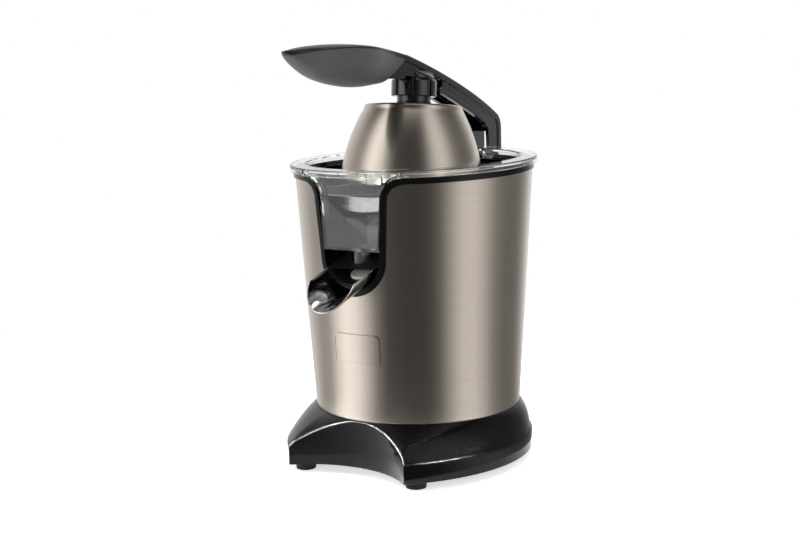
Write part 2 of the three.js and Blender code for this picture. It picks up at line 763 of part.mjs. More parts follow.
// ---------------------------------------------------------------- juicing cone and drive shaft
const hexHeadTopZ = reamerBottomZ + 20;

// Pointed ribs that fade towards the tip.
function buildReamer() {
  const levels = 8;
  const around = reamerRibs * 4;
  const rings = [];
  for (let level = 0; level <= levels; level++) {
    const rise = level / levels;
    const flank = reamerRadius * Math.sqrt(Math.max(0, 1 - rise ** 1.7)) * (1 - 0.28 * rise);
    const ring = [];
    for (let i = 0; i < around; i++) {
      const turn = (2 * Math.PI * i) / around;
      const ridge = Math.abs(Math.cos((turn * reamerRibs) / 2));
      const depth = 0.2 * Math.sin(Math.PI * Math.min(1, rise * 1.15 + 0.12));
      const radius = Math.max(0.8, flank * (1 - depth * (1 - ridge)));
      ring.push([radius * Math.cos(turn), radius * Math.sin(turn), reamerBottomZ + 2 + rise * reamerHeight]);
    }
    rings.push(ring);
  }
  const skirt = post(reamerRadius + 1, reamerBottomZ, reamerBottomZ + 2.5, 0, 0, MEDIUM);
  const socket = post(hexHeadRadius + FIT_GAP, 0, hexHeadTopZ + FIT_GAP, 0, 0, 6);
  const dripWell = post(towerRadius + 4.4, 0, reamerBottomZ + stroke + 2.2, 0, 0, MEDIUM);
  return cut(join(loft(rings), skirt), socket, dripWell);
}

function buildDriveShaft() {
  return join(
    post(shaftRadius, gearPlateBottomZ + 1.5 + stroke, gearCoverTopZ, 0, 0, 6),
    post(shaftRadius, gearCoverTopZ - 1, reamerBottomZ + 3),
    post(6.5, cupTopZ + FIT_GAP, cupTopZ + 2.8),
    post(hexHeadRadius, reamerBottomZ + stroke + 3.4, hexHeadTopZ, 0, 0, 6),
    post(shaftRadius, reamerBottomZ, reamerBottomZ + stroke + 4),
  );
}

function buildBush(inner, outer, flange, z0, z1, flangeThickness) {
  return revolve([
    [inner, z0], [outer, z0], [outer, z1 - flangeThickness],
    [flange, z1 - flangeThickness], [flange, z1], [inner, z1],
  ], SMALL);
}

// ---------------------------------------------------------------- gears
const PRESSURE = 20 * DEG;

function involute(angle) {
  return Math.tan(angle) - angle;
}

// Outline of a spur gear whose first tooth points along +X.
function gearShape(teeth, module, boreRadius, boreFacets, slack = 0.12) {
  const pitch = (teeth * module) / 2;
  const base = pitch * Math.cos(PRESSURE);
  const tip = pitch + 0.85 * module;
  const root = pitch - 1.2 * module;
  const halfTooth = Math.PI / (2 * teeth) - slack / pitch;
  const flank = [];
  for (const share of [0, 1]) {
    const radius = Math.max(base, root) + (tip - Math.max(base, root)) * share;
    const angle = halfTooth + involute(PRESSURE) - involute(Math.acos(Math.min(1, base / radius)));
    flank.push([radius, angle]);
  }
  const shape = new THREE.Shape();
  for (let tooth = 0; tooth < teeth; tooth++) {
    const middle = (2 * Math.PI * tooth) / teeth;
    const outline = [
      ...flank.map(([radius, angle]) => [radius, middle - angle]),
      ...flank.slice().reverse().map(([radius, angle]) => [radius, middle + angle]),
    ];
    if (root < base) {
      outline.unshift([root, middle - flank[0][1]]);
      outline.push([root, middle + flank[0][1]]);
    }
    outline.forEach(([radius, angle], i) => {
      const [x, y] = [radius * Math.cos(angle), radius * Math.sin(angle)];
      if (tooth === 0 && i === 0) shape.moveTo(x, y);
      else shape.lineTo(x, y);
    });
  }
  shape.closePath();
  return shape;
}

const firstDistance = (firstModule * (pinionTeeth + wheelTeeth)) / 2;
const secondDistance = (secondModule * (layPinionTeeth + outputTeeth)) / 2;
const layX = 0;
const layY = secondDistance;
const motorX = layX + firstDistance * Math.sin(motorBearing * DEG);
const motorY = layY - firstDistance * Math.cos(motorBearing * DEG);

// How far gear B is turned so that its teeth meet the gaps of gear A, seen along a line at
// angle `towards` from A to B.
function meshAngle(towards, teethA, turnA, teethB) {
  const phaseA = ((towards - turnA) * teethA) / (2 * Math.PI);
  return towards + Math.PI - ((0.5 - phaseA) * 2 * Math.PI) / teethB;
}

const layTurn = meshAngle(Math.PI / 2, outputTeeth, 0, layPinionTeeth);
const pinionDirection = Math.atan2(motorY - layY, motorX - layX);
const pinionTurn = meshAngle(pinionDirection, wheelTeeth, layTurn, pinionTeeth);

const wheelBottomZ = gearPlateBottomZ + gearPlateThickness + 3;
const wheelTopZ = wheelBottomZ + 9;
const outputBottomZ = wheelTopZ + 5;
const outputTopZ = outputBottomZ + 13;
const hubTopZ = gearCoverBottomZ - 0.5;
const hubBottomZ = gearPlateBottomZ + gearPlateThickness + 2;
const layPinRadius = 3;

function buildOutputGear() {
  let gear = extrudeZ(gearShape(outputTeeth, secondModule), outputBottomZ, outputTopZ);
  for (let i = 0; i < 6; i++) {
    const turn = (i * Math.PI) / 3;
    gear = gear.subtract(post(6, 0, 300, 19 * Math.cos(turn), 19 * Math.sin(turn), 10));
  }
  gear = gear.add(post(9, hubBottomZ, hubTopZ, 0, 0, MEDIUM));
  return gear.subtract(post(shaftRadius + RUN_GAP, 0, 300, 0, 0, 6));
}

function buildLayGear() {
  const wheel = extrudeZ(gearShape(wheelTeeth, firstModule), wheelBottomZ, wheelTopZ);
  const pinion = extrudeZ(gearShape(layPinionTeeth, secondModule), wheelTopZ - 0.5, hubTopZ - 1);
  const gear = join(wheel, pinion);
  return gear.subtract(post(layPinRadius + RUN_GAP, 0, 300));
}

function buildMotorPinion() {
  const body = extrudeZ(gearShape(pinionTeeth, firstModule), wheelBottomZ - 0.5, wheelTopZ + 1);
  return body.subtract(post(motorShaftRadius + FIT_GAP, 0, 300, 0, 0, 16));
}

function gearPlateOutline() {
  const shape = new THREE.Shape();
  const [x, front, back, radius] = [42, -38, 60, 8];
  shape.moveTo(-x + radius, front);
  shape.absarc(x - radius, front + radius, radius, -Math.PI / 2, 0, false);
  shape.absarc(x - radius, back - radius, radius, 0, Math.PI / 2, false);
  shape.absarc(-x + radius, back - radius, radius, Math.PI / 2, Math.PI, false);
  shape.absarc(-x + radius, front + radius, radius, Math.PI, 1.5 * Math.PI, false);
  shape.closePath();
  return shape;
}

const bushOuter = 6.5;

function buildGearPlate() {
  const plate = extrudeZ(gearPlateOutline(), gearPlateBottomZ, gearPlateBottomZ + gearPlateThickness, 4);
  return cut(
    plate,
    post(bushOuter + FIT_GAP, 0, 300),
    post(layPinRadius + FIT_GAP, 0, 300, layX, layY),
    post(8.5, 0, 300, motorX, motorY),
  );
}

function buildGearCover() {
  let cover = extrudeZ(gearPlateOutline(), gearCoverBottomZ, gearCoverTopZ, 4);
  for (const [x, y] of gearPostPlaces) {
    cover = cover.add(post(3.4, gearPlateBottomZ + gearPlateThickness, gearCoverBottomZ + 1, x, y, 12));
  }
  return cut(
    cover,
    post(shaftRadius + RUN_GAP, 0, 300),
    post(layPinRadius + FIT_GAP, 0, 300, layX, layY),
  );
}

function buildLayPin() {
  return revolve([
    [0, gearPlateBottomZ + 0.5], [layPinRadius, gearPlateBottomZ + 0.5],
    [layPinRadius, gearCoverTopZ + 0.2], [layPinRadius + 1.5, gearCoverTopZ + 0.2],
    [layPinRadius + 1.5, gearCoverTopZ + 1.7], [0, gearCoverTopZ + 1.7],
  ], SMALL);
}

// ---------------------------------------------------------------- motor
const statorBottomZ = 72;
const statorTopZ = 108;
const motorFrameTopZ = gearPlateBottomZ;

function buildStator() {
  let stator = post(motorRadius, statorBottomZ, statorTopZ, 0, 0, MEDIUM)
    .subtract(post(19, 0, 300, 0, 0, MEDIUM));
  for (let i = 0; i < 4; i++) {
    const slot = new THREE.BoxGeometry(9, 8, 60).translate(20, 0, (statorBottomZ + statorTopZ) / 2);
    stator = stator.subtract(toManifold(slot.rotateZ((i + 0.5) * (Math.PI / 2))));
  }
  return stator;
}

// A shallow cup that carries one bearing of the motor, with four windows for the air.
function buildMotorFrame(z0, z1, plateLow, bore) {
  const [plate0, plate1] = plateLow ? [z0, z0 + 2.5] : [z1 - 2.5, z1];
  const [open0, open1] = plateLow ? [plate1, z1 + 1] : [z0 - 1, plate0];
  let frame = post(motorRadius, z0, z1, 0, 0, MEDIUM)
    .subtract(post(motorRadius - 2.5, open0, open1, 0, 0, MEDIUM));
  for (let i = 0; i < 4; i++) {
    const airHole = new THREE.BoxGeometry(30, 26, z1 - z0 - 8).translate(30, 0, (z0 + z1) / 2);
    frame = frame.subtract(toManifold(airHole.rotateZ((i * Math.PI) / 2)));
  }
  frame = frame.add(post(7, plateLow ? z0 : z1 - 6, plateLow ? z0 + 6 : z1, 0, 0, SMALL));
  return frame.subtract(post(bore, 0, 300));
}

function buildRotor() {
  return join(
    post(motorShaftRadius, statorBottomZ - 17, wheelTopZ + 1.5),
    post(18.4, statorBottomZ + 2, statorTopZ - 2, 0, 0, MEDIUM),
    post(9, statorTopZ - 3, statorTopZ + 8, 0, 0, SMALL),
  );
}

function buildFan() {
  const [z0, z1] = [statorBottomZ - 11, statorBottomZ - 3];
  let fan = join(post(24, z1 - 1.5, z1, 0, 0, MEDIUM), post(6, z0, z1));
  for (let i = 0; i < 8; i++) {
    const blade = new THREE.BoxGeometry(18, 1.4, z1 - z0 - 0.5).translate(14.5, 0, (z0 + z1) / 2);
    fan = fan.add(toManifold(blade.rotateZ((i * Math.PI) / 4)));
  }
  return fan.subtract(post(motorShaftRadius + FIT_GAP, 0, 300, 0, 0, 16));
}

// ---------------------------------------------------------------- starting switch
const switchX0 = 15.5;
const switchX1 = 35.5;
const switchTopZ = 179.7;
const plungerX = 21;
const plungerRadius = 1.4;

function buildThrustCup() {
  const cup = revolve([
    [shaftRadius + RUN_GAP, cupTopZ - 2.8], [springRadius + 2.5, cupTopZ - 2.8],
    [springRadius + 2.5, cupTopZ - 5.5], [springRadius + 4, cupTopZ - 5.5],
    [springRadius + 4, cupTopZ], [shaftRadius + RUN_GAP, cupTopZ],
  ], MEDIUM);
  return cup.add(block(springRadius + 3, plungerX + 3.5, -3, 3, cupTopZ - 2.8, cupTopZ));
}

function buildReturnSpring() {
  const turns = 4;
  const [z0, z1] = [gearCoverTopZ + springWire + 0.1, cupTopZ - 2.8 - springWire - 0.1];
  class Helix extends THREE.Curve {
    getPoint(t, target = new THREE.Vector3()) {
      const angle = 2 * Math.PI * turns * t;
      return target.set(springRadius * Math.cos(angle), springRadius * Math.sin(angle), z0 + (z1 - z0) * t);
    }
  }
  const wire = new THREE.Shape().absarc(0, 0, springWire, 0, 2 * Math.PI, false);
  const coil = new THREE.ExtrudeGeometry(wire, {
    steps: turns * 10, curveSegments: 2, extrudePath: new Helix(), bevelEnabled: false,
  });
  return toManifold(coil);
}

function buildMicroSwitch() {
  const body = block(switchX0, switchX1, -3.2, 3.2, gearCoverTopZ, switchTopZ);
  return cut(
    body,
    post(plungerRadius + RUN_GAP, gearCoverTopZ + 1.5, 200, plungerX, 0, 12),
    barY(1.6, -10, 10, switchX1 - 4, gearCoverTopZ + 4, 12),
  );
}

function buildPlunger() {
  const top = cupTopZ - 2.8 - FIT_GAP;
  return post(plungerRadius, top - 7, top, plungerX, 0, 12);
}

// ---------------------------------------------------------------- spout
function halfEllipse(halfWidth, depth) {
  const shape = new THREE.Shape();
  shape.moveTo(-halfWidth, 0);
  shape.absellipse(0, 0, halfWidth, depth, Math.PI, 2 * Math.PI, false, 0);
  shape.closePath();
  return shape;
}

// Local frame: the trough runs towards -Y from the spout's own origin, its edges at z = 0.
function halfPipe(halfWidth, depth, from, to) {
  return extrudeY(halfEllipse(halfWidth, depth), -to, -from, 14);
}

function buildSpoutTrough() {
  const end = spoutSideLength + spoutScoop + 5;
  const outer = halfPipe(spoutHalfWidth, spoutDepth, spoutBackLength, end);
  const bore = halfPipe(spoutHalfWidth - spoutSheet, spoutDepth - spoutSheet, 0, end + 5)
    .add(block(-spoutHalfWidth, spoutHalfWidth, -end - 5, 0, -0.01, 5));
  const shape = new THREE.Shape();
  shape.moveTo(-spoutSideLength, 0.5);
  shape.lineTo(-spoutSideLength - spoutScoop * 1.2, -spoutDepth * 1.2);
  shape.lineTo(-end - 20, -spoutDepth * 1.2);
  shape.lineTo(-end - 20, 0.5);
  shape.closePath();
  return cut(outer, bore, extrudeX(shape, spoutHalfWidth + 5));
}

// Turns a point of the body frame into the spout's local frame.
function spoutLocal(y, z) {
  const [dy, dz] = [y - spoutY, z - spoutZ];
  const [c, s] = [Math.cos(spoutTilt * DEG), Math.sin(spoutTilt * DEG)];
  return [dy * c + dz * s, -dy * s + dz * c];
}

const carrierBack = -16; // behind the spout's own origin
const padLean = (spoutTilt - spoutTravel) * DEG; // the pad lies level when the spout is shut

function padFrame(solid) {
  const [y, z] = spoutLocal(padY, padZ);
  const matrix = new THREE.Matrix4().makeRotationX(-padLean).setPosition(0, y, z);
  return solid.transform(matrix.elements);
}

function buildSpoutCarrier() {
  const [pivotY, pivotZ] = spoutLocal(spoutPivotY, spoutPivotZ);
  const halfWidth = spoutHalfWidth - 0.2;
  const depth = spoutDepth - 0.2;
  const spigotEnd = spoutBackLength + 6;
  const barrelEnd = spoutHalfWidth - 9.8;
  const inside = spoutSheet + FIT_GAP;
  const skin = join(
    halfPipe(halfWidth, depth, carrierBack, spoutBackLength - FIT_GAP),
    halfPipe(spoutHalfWidth - inside, spoutDepth - inside, 0, spigotEnd),
  );
  const wall = 1.6;
  const innerWall = inside + wall;
  const bore = halfPipe(
    spoutHalfWidth - innerWall, spoutDepth - innerWall, carrierBack + wall, spigotEnd + 1,
  );
  const platform = padFrame(post(padRadius + 1, -14, -padThickness - 0.1, 0, 0, MEDIUM))
    .intersect(halfPipe(halfWidth - 1, depth - 1, carrierBack, spigotEnd + 8));
  const carrier = join(skin.subtract(bore), platform, barX(4, -barrelEnd, barrelEnd, pivotY, pivotZ));
  return carrier.subtract(barX(spoutPinRadius + FIT_GAP, -30, 30, pivotY, pivotZ));
}

function buildDripPad() {
  return padFrame(revolve([
    [0, -padThickness], [padRadius, -padThickness], [padRadius, -0.5], [padRadius - 0.8, 0], [0, 0],
  ], MEDIUM));
}

// ---------------------------------------------------------------- dome
// Local frame: the dome's own axis, with its origin at the foot of the collar.
function domeFlank(offset) {
  const chordMiddle = [(domeTopRadius + domeRimRadius) / 2, -neckHeight - domeHeight / 2];
  const length = Math.hypot(domeRimRadius - domeTopRadius, domeHeight);
  const normal = [domeHeight / length, (domeRimRadius - domeTopRadius) / length];
  const bend = 2 * domeBulge;
  const top = new THREE.Vector2(domeTopRadius - offset, -neckHeight - domeShoulder);
  const bottom = new THREE.Vector2(domeRimRadius - offset, -neckHeight - domeHeight);
  const middle = new THREE.Vector2(
    chordMiddle[0] + bend * normal[0] - offset,
    chordMiddle[1] + bend * normal[1],
  );
  return new THREE.QuadraticBezierCurve(top, middle, bottom).getPoints(5).map((p) => [p.x, p.y]);
}

function domeShell(outset, wall, topDrop) {
  const top = -neckHeight - topDrop;
  const outer = domeFlank(outset);
  const inner = domeFlank(outset + wall).reverse();
  const outerFlank = outer.filter(([, z]) => z < top - 1);
  const innerFlank = inner.filter(([, z]) => z < top - wall - 0.5);
  return revolve([
    [3.2, top], [outer[0][0] - domeShoulder, top], ...outerFlank, ...innerFlank,
    [innerFlank[innerFlank.length - 1][0] - domeShoulder, top - wall], [3.2, top - wall],
  ], 36);
}

function buildNeck() {
  const foot = -neckHeight;
  const neck = revolve([
    [2.4, foot + FIT_GAP / 3], [neckRadius, foot + FIT_GAP / 3], [neckRadius, foot + 2],
    [neckRadius - 0.8, foot + 2.6], [neckRadius - 0.8, -0.6], [11, -0.6], [11, 4],
    [13.8, 4], [13.8, 8.4], [9, 8.4], [9, 0], [2.4, 0],
  ], MEDIUM);
  return neck;
}

function buildCollar() {
  let collar = revolve([
    [11.6, FIT_GAP], [collarRadius - 1, FIT_GAP], [collarRadius, 1.3], [collarRadius, collarHeight - 1],
    [collarRadius - 1, collarHeight], [11.6, collarHeight], [11.6, 9], [14.3, 9], [14.3, 3.6], [11.6, 3.6],
  ], MEDIUM);
  for (let i = 0; i < 8; i++) {
    const turn = ((i + 0.5) * Math.PI) / 4;
    const groove = new THREE.BoxGeometry(3, 3.4, 30).translate(collarRadius, 0, 0).rotateZ(turn);
    collar = collar.subtract(toManifold(groove));
  }
  return collar;
}

function buildDomeScrew() {
  const under = -neckHeight - domeWall - linerWall - 0.4;
  return revolve([
    [0, under - 2.5], [4.5, under - 2.5], [4.5, under - 0.1], [2, under - 0.1], [2, -1], [0, -1],
  ], SMALL);
}

// ---------------------------------------------------------------- arm
const armBackY = hingeY + armEyeRadius;
const wallFrontY = 22;
const wallFrontZ = armUndersideZ - 5;
const elbowY = hingeY - 16.4;
const elbowZ = hingeZ + 45.1;

// The arm's upper edge from the seam back to the elbow.
function armTopCurve(drop = 0) {
  return new THREE.CubicBezierCurve(
    new THREE.Vector2(seamY, seamTopZ - drop),
    new THREE.Vector2(seamY + 48, seamTopZ - 11.9 - drop),
    new THREE.Vector2(hingeY - 33 - drop / 3, elbowZ + 22.9 - drop),
    new THREE.Vector2(hingeY + 2 - drop / 2, elbowZ + 3.9 - drop),
  );
}

function armSideShape() {
  const shape = new THREE.Shape();
  shape.moveTo(seamLowY, armUndersideZ);
  shape.lineTo(seamY, seamTopZ);
  for (const point of armTopCurve().getPoints(10).slice(1)) shape.lineTo(point.x, point.y);
  shape.quadraticCurveTo(armBackY, elbowZ - 0.1, armBackY, elbowZ - 11.1);
  shape.lineTo(armBackY, hingeZ);
  shape.absarc(hingeY, hingeZ, armEyeRadius, 0, -Math.PI, true);
  shape.lineTo(hingeY - armEyeRadius, hingeZ + 4);
  shape.quadraticCurveTo(hingeY - 9, elbowZ - 15.1, hingeY - 13, elbowZ - 5.1);
  shape.quadraticCurveTo(elbowY + 2.2, elbowZ - 2.1, elbowY, elbowZ);
  shape.quadraticCurveTo(elbowY - 21.6, elbowZ + 10.4, wallFrontY + 2, wallFrontZ - 0.6);
  shape.lineTo(wallFrontY, armUndersideZ);
  shape.closePath();
  return shape;
}

// The proud band that runs along the upper edge and down the back of the leg.
function armBandShape() {
  const shape = new THREE.Shape();
  shape.moveTo(seamY - 7.3, seamTopZ - armBand);
  shape.lineTo(seamY, seamTopZ);
  for (const point of armTopCurve().getPoints(10).slice(1)) shape.lineTo(point.x, point.y);
  shape.quadraticCurveTo(armBackY, elbowZ - 0.1, armBackY, elbowZ - 11.1);
  shape.lineTo(armBackY, hingeZ + 12);
  shape.lineTo(armBackY - armBand, hingeZ + 12);
  shape.lineTo(armBackY - armBand, elbowZ - 11.1);
  shape.quadraticCurveTo(armBackY - armBand, elbowZ - 4.6, hingeY - 1, elbowZ - 1.1);
  const underBand = armTopCurve(armBand).getPoints(10).reverse();
  for (const point of underBand.slice(1)) shape.lineTo(point.x, point.y);
  shape.closePath();
  return shape;
}

function armHollowShape() {
  const shape = new THREE.Shape();
  const roof = armTopCurve(armSkin).getPoints(12).filter((point) => point.x > wallFrontY + 4);
  const openZ = hingeZ - 32;
  shape.moveTo(wallFrontY + 4, openZ);
  shape.lineTo(wallFrontY + 4, roof[0].y + 0.5);
  for (const point of roof) shape.lineTo(point.x, point.y);
  shape.quadraticCurveTo(armBackY - armSkin, elbowZ - 5.1, armBackY - armSkin, elbowZ - 13.1);
  shape.lineTo(armBackY - armSkin, slitTopZ);
  shape.lineTo(armBackY + 5, slitTopZ);
  shape.lineTo(armBackY + 5, openZ);
  shape.closePath();
  return shape;
}

function leaning(solid) {
  const matrix = new THREE.Matrix4().makeRotationX(-domeLean * DEG).setPosition(0, collarY, collarBottomZ);
  return solid.transform(matrix.elements);
}

const tongueFrontY = -92;
const tongueHalfWidth = 7;
const tongueLowZ = armUndersideZ + 4;
const tongueHighZ = armUndersideZ + 13;

function buildArmShell() {
  const boss = leaning(post(16.5, collarHeight + FIT_GAP, collarHeight + 8, 0, 0, MEDIUM));
  const stub = leaning(post(10.8, 9, collarHeight + 3, 0, 0, SMALL));
  const head = block(-14, 14, -19, wallFrontY, armUndersideZ + 0.5, armUndersideZ + 9)
    .intersect(extrudeX(armSideShape(), 30));
  const tongue = block(-tongueHalfWidth, tongueHalfWidth, tongueFrontY, seamY, tongueLowZ, tongueHighZ);
  const band = extrudeX(armBandShape(), armHalfWidth);
  const walls = join(extrudeX(armSideShape(), armWallHalfWidth), band, head);
  const arm = cut(
    join(walls, boss),
    extrudeX(armHollowShape(), forkHalfGap),
    leaning(post(30, -20, collarHeight + FIT_GAP, 0, 0, MEDIUM)),
  );
  return join(arm, stub, tongue)
    .subtract(barX(hingePinRadius + FIT_GAP, -30, 30, hingeY, hingeZ))
    .subtract(leaning(post(6, 0, collarHeight + 2)));
}

// Middle web with cross ribs that stiffens the hollow arm.
function buildLeverCore() {
  const slim = armSideShape();
  const roof = armHollowShape();
  const front = wallFrontY + 4 + FIT_GAP;
  const [zoneEnd, low, high] = [elbowY - 1.6, hingeZ - 32, seamTopZ + 8];
  const zone = block(-20, 20, front, zoneEnd, low, high);
  const filling = (half) => extrudeX(slim, half).intersect(extrudeX(roof, half)).intersect(zone);
  const fill = filling(forkHalfGap - FIT_GAP);
  let core = filling(1.5);
  for (let y = wallFrontY + 12; y < zoneEnd; y += 15) {
    core = core.add(fill.intersect(block(-20, 20, y - 1, y + 1, low, high)));
  }
  const roofGap = extrudeX(armSideShape(), 20).subtract(
    extrudeX(armHollowShape(), 19).transform(new THREE.Matrix4().makeTranslation(0, -0.1, -FIT_GAP).elements),
  );
  return core.subtract(roofGap);
}

// Leaf-shaped paddle: a crisp edge all round, a lightly crowned top and a full belly.
function gripSection(y) {
  const along = (y - gripTipY) / (seamY + 10 - gripTipY); // 0 at the tip, 1 behind the seam
  const swell = Math.sin(Math.PI * Math.min(1, along * 0.9 + 0.005) ** 0.72);
  const tail = THREE.MathUtils.smoothstep(along, 0.55, 1);
  const half = THREE.MathUtils.lerp(gripHalfWidth * swell, armWallHalfWidth + 3.2, tail);
  const topZ = gripTop(y);
  const bottomZ = gripBottom(y);
  const edgeZ = topZ - Math.min(2.2, (topZ - bottomZ) * 0.25);
  const ring = [];
  const across = 10;
  for (let i = 0; i <= across; i++) {
    const angle = (Math.PI * i) / across;
    const flat = Math.sign(Math.cos(angle)) * Math.abs(Math.cos(angle)) ** 0.8;
    ring.push([half * flat, y, edgeZ - (edgeZ - bottomZ) * Math.sin(angle) ** 0.85]);
  }
  for (let i = 1; i < 6; i++) {
    const share = i / 6;
    ring.push([half * (2 * share - 1), y, edgeZ + (topZ - edgeZ) * Math.sin(Math.PI * share) ** 0.7]);
  }
  return ring;
}

// A point of the grip's side view, by its height over the tip.
function gripPoint(y, rise) {
  return new THREE.Vector2(y, gripTipZ + rise);
}

const gripTopCurve = new THREE.CubicBezierCurve(
  gripPoint(gripTipY, 0), gripPoint(-120, 8.8), gripPoint(-62, 7.3), gripPoint(gripEndY, -3.8),
);
const gripBottomCurve = new THREE.SplineCurve([
  gripPoint(gripTipY, -1), gripPoint(-149, -11.8), gripPoint(-125, -21.4),
  gripPoint(-88, -26.8), gripPoint(-50, -24.6), gripPoint(gripEndY, -20.8),
]);

function heightAt(curve, y) {
  const points = curve.getPoints(60);
  for (let i = 1; i < points.length; i++) {
    if (points[i].x >= y) {
      const share = (y - points[i - 1].x) / (points[i].x - points[i - 1].x);
      return THREE.MathUtils.lerp(points[i - 1].y, points[i].y, share);
    }
  }
  return points[points.length - 1].y;
}

function gripTop(y) {
  return heightAt(gripTopCurve, y);
}

function gripBottom(y) {
  return heightAt(gripBottomCurve, y);
}

function buildGrip() {
  const rings = [];
  const steps = 20;
  for (let i = 0; i <= steps; i++) {
    const share = i / steps;
    const y = gripTipY + (gripEndY - gripTipY) * share ** 1.15;
    rings.push(gripSection(y));
  }
  const seam = new THREE.Shape();
  const gap = FIT_GAP + 0.1;
  const slope = (seamY - seamLowY) / (seamTopZ - armUndersideZ);
  seam.moveTo(seamLowY - gap - 20 * slope, armUndersideZ - 20);
  seam.lineTo(seamY - gap + 20 * slope, seamTopZ + 20);
  seam.lineTo(60, seamTopZ + 20);
  seam.lineTo(60, armUndersideZ - 20);
  seam.closePath();
  const room = tongueHalfWidth + FIT_GAP;
  const [socketFloor, socketRoof] = [tongueLowZ - FIT_GAP, tongueHighZ + FIT_GAP];
  const socket = block(-room, room, tongueFrontY - FIT_GAP, 10, socketFloor, socketRoof);
  return cut(loft(rings), extrudeX(seam, 40), socket);
}

// ---------------------------------------------------------------- assembly
add("base_housing", buildBaseHousing(), glossBlack);
add("base_plate", buildBasePlate(), satinBlack);
for (const [name, x, y] of footPlaces) {
  add(name, buildFoot(), darkRubber).position.set(x, y, 0);
}
baseScrewPlaces.forEach(([x, y], i) => {
  add(`base_screw_${i + 1}`, buildBaseScrew(), plainSteel).position.set(x, y, 0);
});
add("cord_gland", buildCordGland(), darkRubber);
add("body_shell", buildBodyShell(), champagneSteel);
add("badge_plate", buildBadge(), champagneSteel);
add("upper_housing", buildUpperHousing(), glossBlack);
add("juice_bowl", buildJuiceBowl(), clearPlastic);
add("pulp_filter", buildPulpFilter(), plainSteel);

add("hinge_bracket", buildHingeBracket(), glossBlack);
add("bracket_screw_left", buildBracketScrew(-1), plainSteel);
add("bracket_screw_right", buildBracketScrew(1), plainSteel);
add("hinge_pin", buildHingePin(), plainSteel);

add("gearbox_plate", buildGearPlate(), satinBlack);
add("gearbox_cover", buildGearCover(), satinBlack);
const lowerBushTop = gearPlateBottomZ + gearPlateThickness + 1.4;
const bushBore = shaftRadius + RUN_GAP;
const lowerBush = buildBush(bushBore, bushOuter, bushOuter + 2, gearPlateBottomZ, lowerBushTop, 1.3);
add("lower_bush", lowerBush, bronze);
const upperBushTop = towerTopZ - 2.8 - FIT_GAP;
const upperOuter = towerHoleRadius - FIT_GAP;
const upperBush = buildBush(bushBore, upperOuter - 0.4, upperOuter, upperBushTop - 16, upperBushTop, 2);
add("upper_bush", upperBush, bronze);
add("shaft_seal", revolve([
  [shaftRadius + 0.2, towerTopZ + 0.1], [9.5, towerTopZ + 0.1], [9.5, towerTopZ + 1.6],
  [shaftRadius + 1.4, towerTopZ + 3], [shaftRadius + 0.2, towerTopZ + 3],
], SMALL), darkRubber);
add("lay_pin", buildLayPin(), plainSteel).position.set(layX, layY, 0);
add("micro_switch", buildMicroSwitch(), satinBlack);
add("switch_plunger", buildPlunger(), gearPlastic);
add("return_spring", buildReturnSpring(), plainSteel);
add("thrust_cup", buildThrustCup(), gearPlastic);
add("drive_shaft", buildDriveShaft(), plainSteel);
add("reamer", buildReamer(), glossBlack);
add("output_gear", buildOutputGear(), gearPlastic);

const layGroup = new THREE.Group();
layGroup.position.set(layX, layY, 0);
layGroup.rotation.z = layTurn;
juicer.add(layGroup);
add("lay_gear", buildLayGear(), gearPlastic, layGroup);

const motor = new THREE.Group();
motor.position.set(motorX, motorY, 0);
juicer.add(motor);
add("motor_stator", buildStator(), copperRed, motor);
const motorBore = motorShaftRadius + RUN_GAP;
const topFrame = buildMotorFrame(statorTopZ, motorFrameTopZ, false, motorBore);
const bottomFrame = buildMotorFrame(statorBottomZ - 18, statorBottomZ, true, motorBore);
add("motor_frame_top", topFrame, plainSteel, motor);
add("motor_frame_bottom", bottomFrame, plainSteel, motor);
add("motor_rotor", buildRotor(), copperRed, motor);
add("motor_fan", buildFan(), satinBlack, motor);
add("motor_pinion", buildMotorPinion(), bronze, motor).rotation.z = pinionTurn;

const spout = new THREE.Group();
spout.position.set(0, spoutY, spoutZ);
spout.rotation.x = spoutTilt * DEG;
juicer.add(spout);
add("spout_trough", buildSpoutTrough(), polishedSteel, spout);
add("spout_carrier", buildSpoutCarrier(), satinBlack, spout);
add("drip_pad", buildDripPad(), paleSilicone, spout);
const pinEnd = spoutHalfWidth - FIT_GAP;
add("spout_pin", barX(spoutPinRadius, -pinEnd, pinEnd, spoutPivotY, spoutPivotZ, 16), plainSteel);

add("arm_shell", buildArmShell(), glossBlack);
add("lever_core", buildLeverCore(), satinBlack);
add("grip", buildGrip(), softGrey);
const dome = new THREE.Group();
dome.position.set(0, collarY, collarBottomZ);
dome.rotation.x = -domeLean * DEG;
juicer.add(dome);
add("collar_nut", buildCollar(), glossBlack, dome);
add("dome_neck", buildNeck(), glossBlack, dome);
add("press_dome", domeShell(0, domeWall, 0), champagneSteel, dome);
add("dome_liner", domeShell(domeWall + 0.2, linerWall, domeWall + 0.2), satinBlack, dome);
add("dome_screw", buildDomeScrew(), plainSteel, dome);

// The assembly stands with the middle of its length over the origin.
juicer.position.y = -(gripTipY + armBackY) / 2;

export default juicer;
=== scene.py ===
"""Looks of a lever-arm electric citrus press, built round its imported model.

Sizes are in millimetres about the axis of the body, with the front towards -Y; `place` turns
them to the scene's metres. Sizes that a user would change are properties of the scene, and the
operators at the end make the pieces in order.
"""

import math

import bmesh
import bpy
from bpy.props import FloatProperty, FloatVectorProperty, IntProperty, PointerProperty
from mathutils import Matrix, Vector


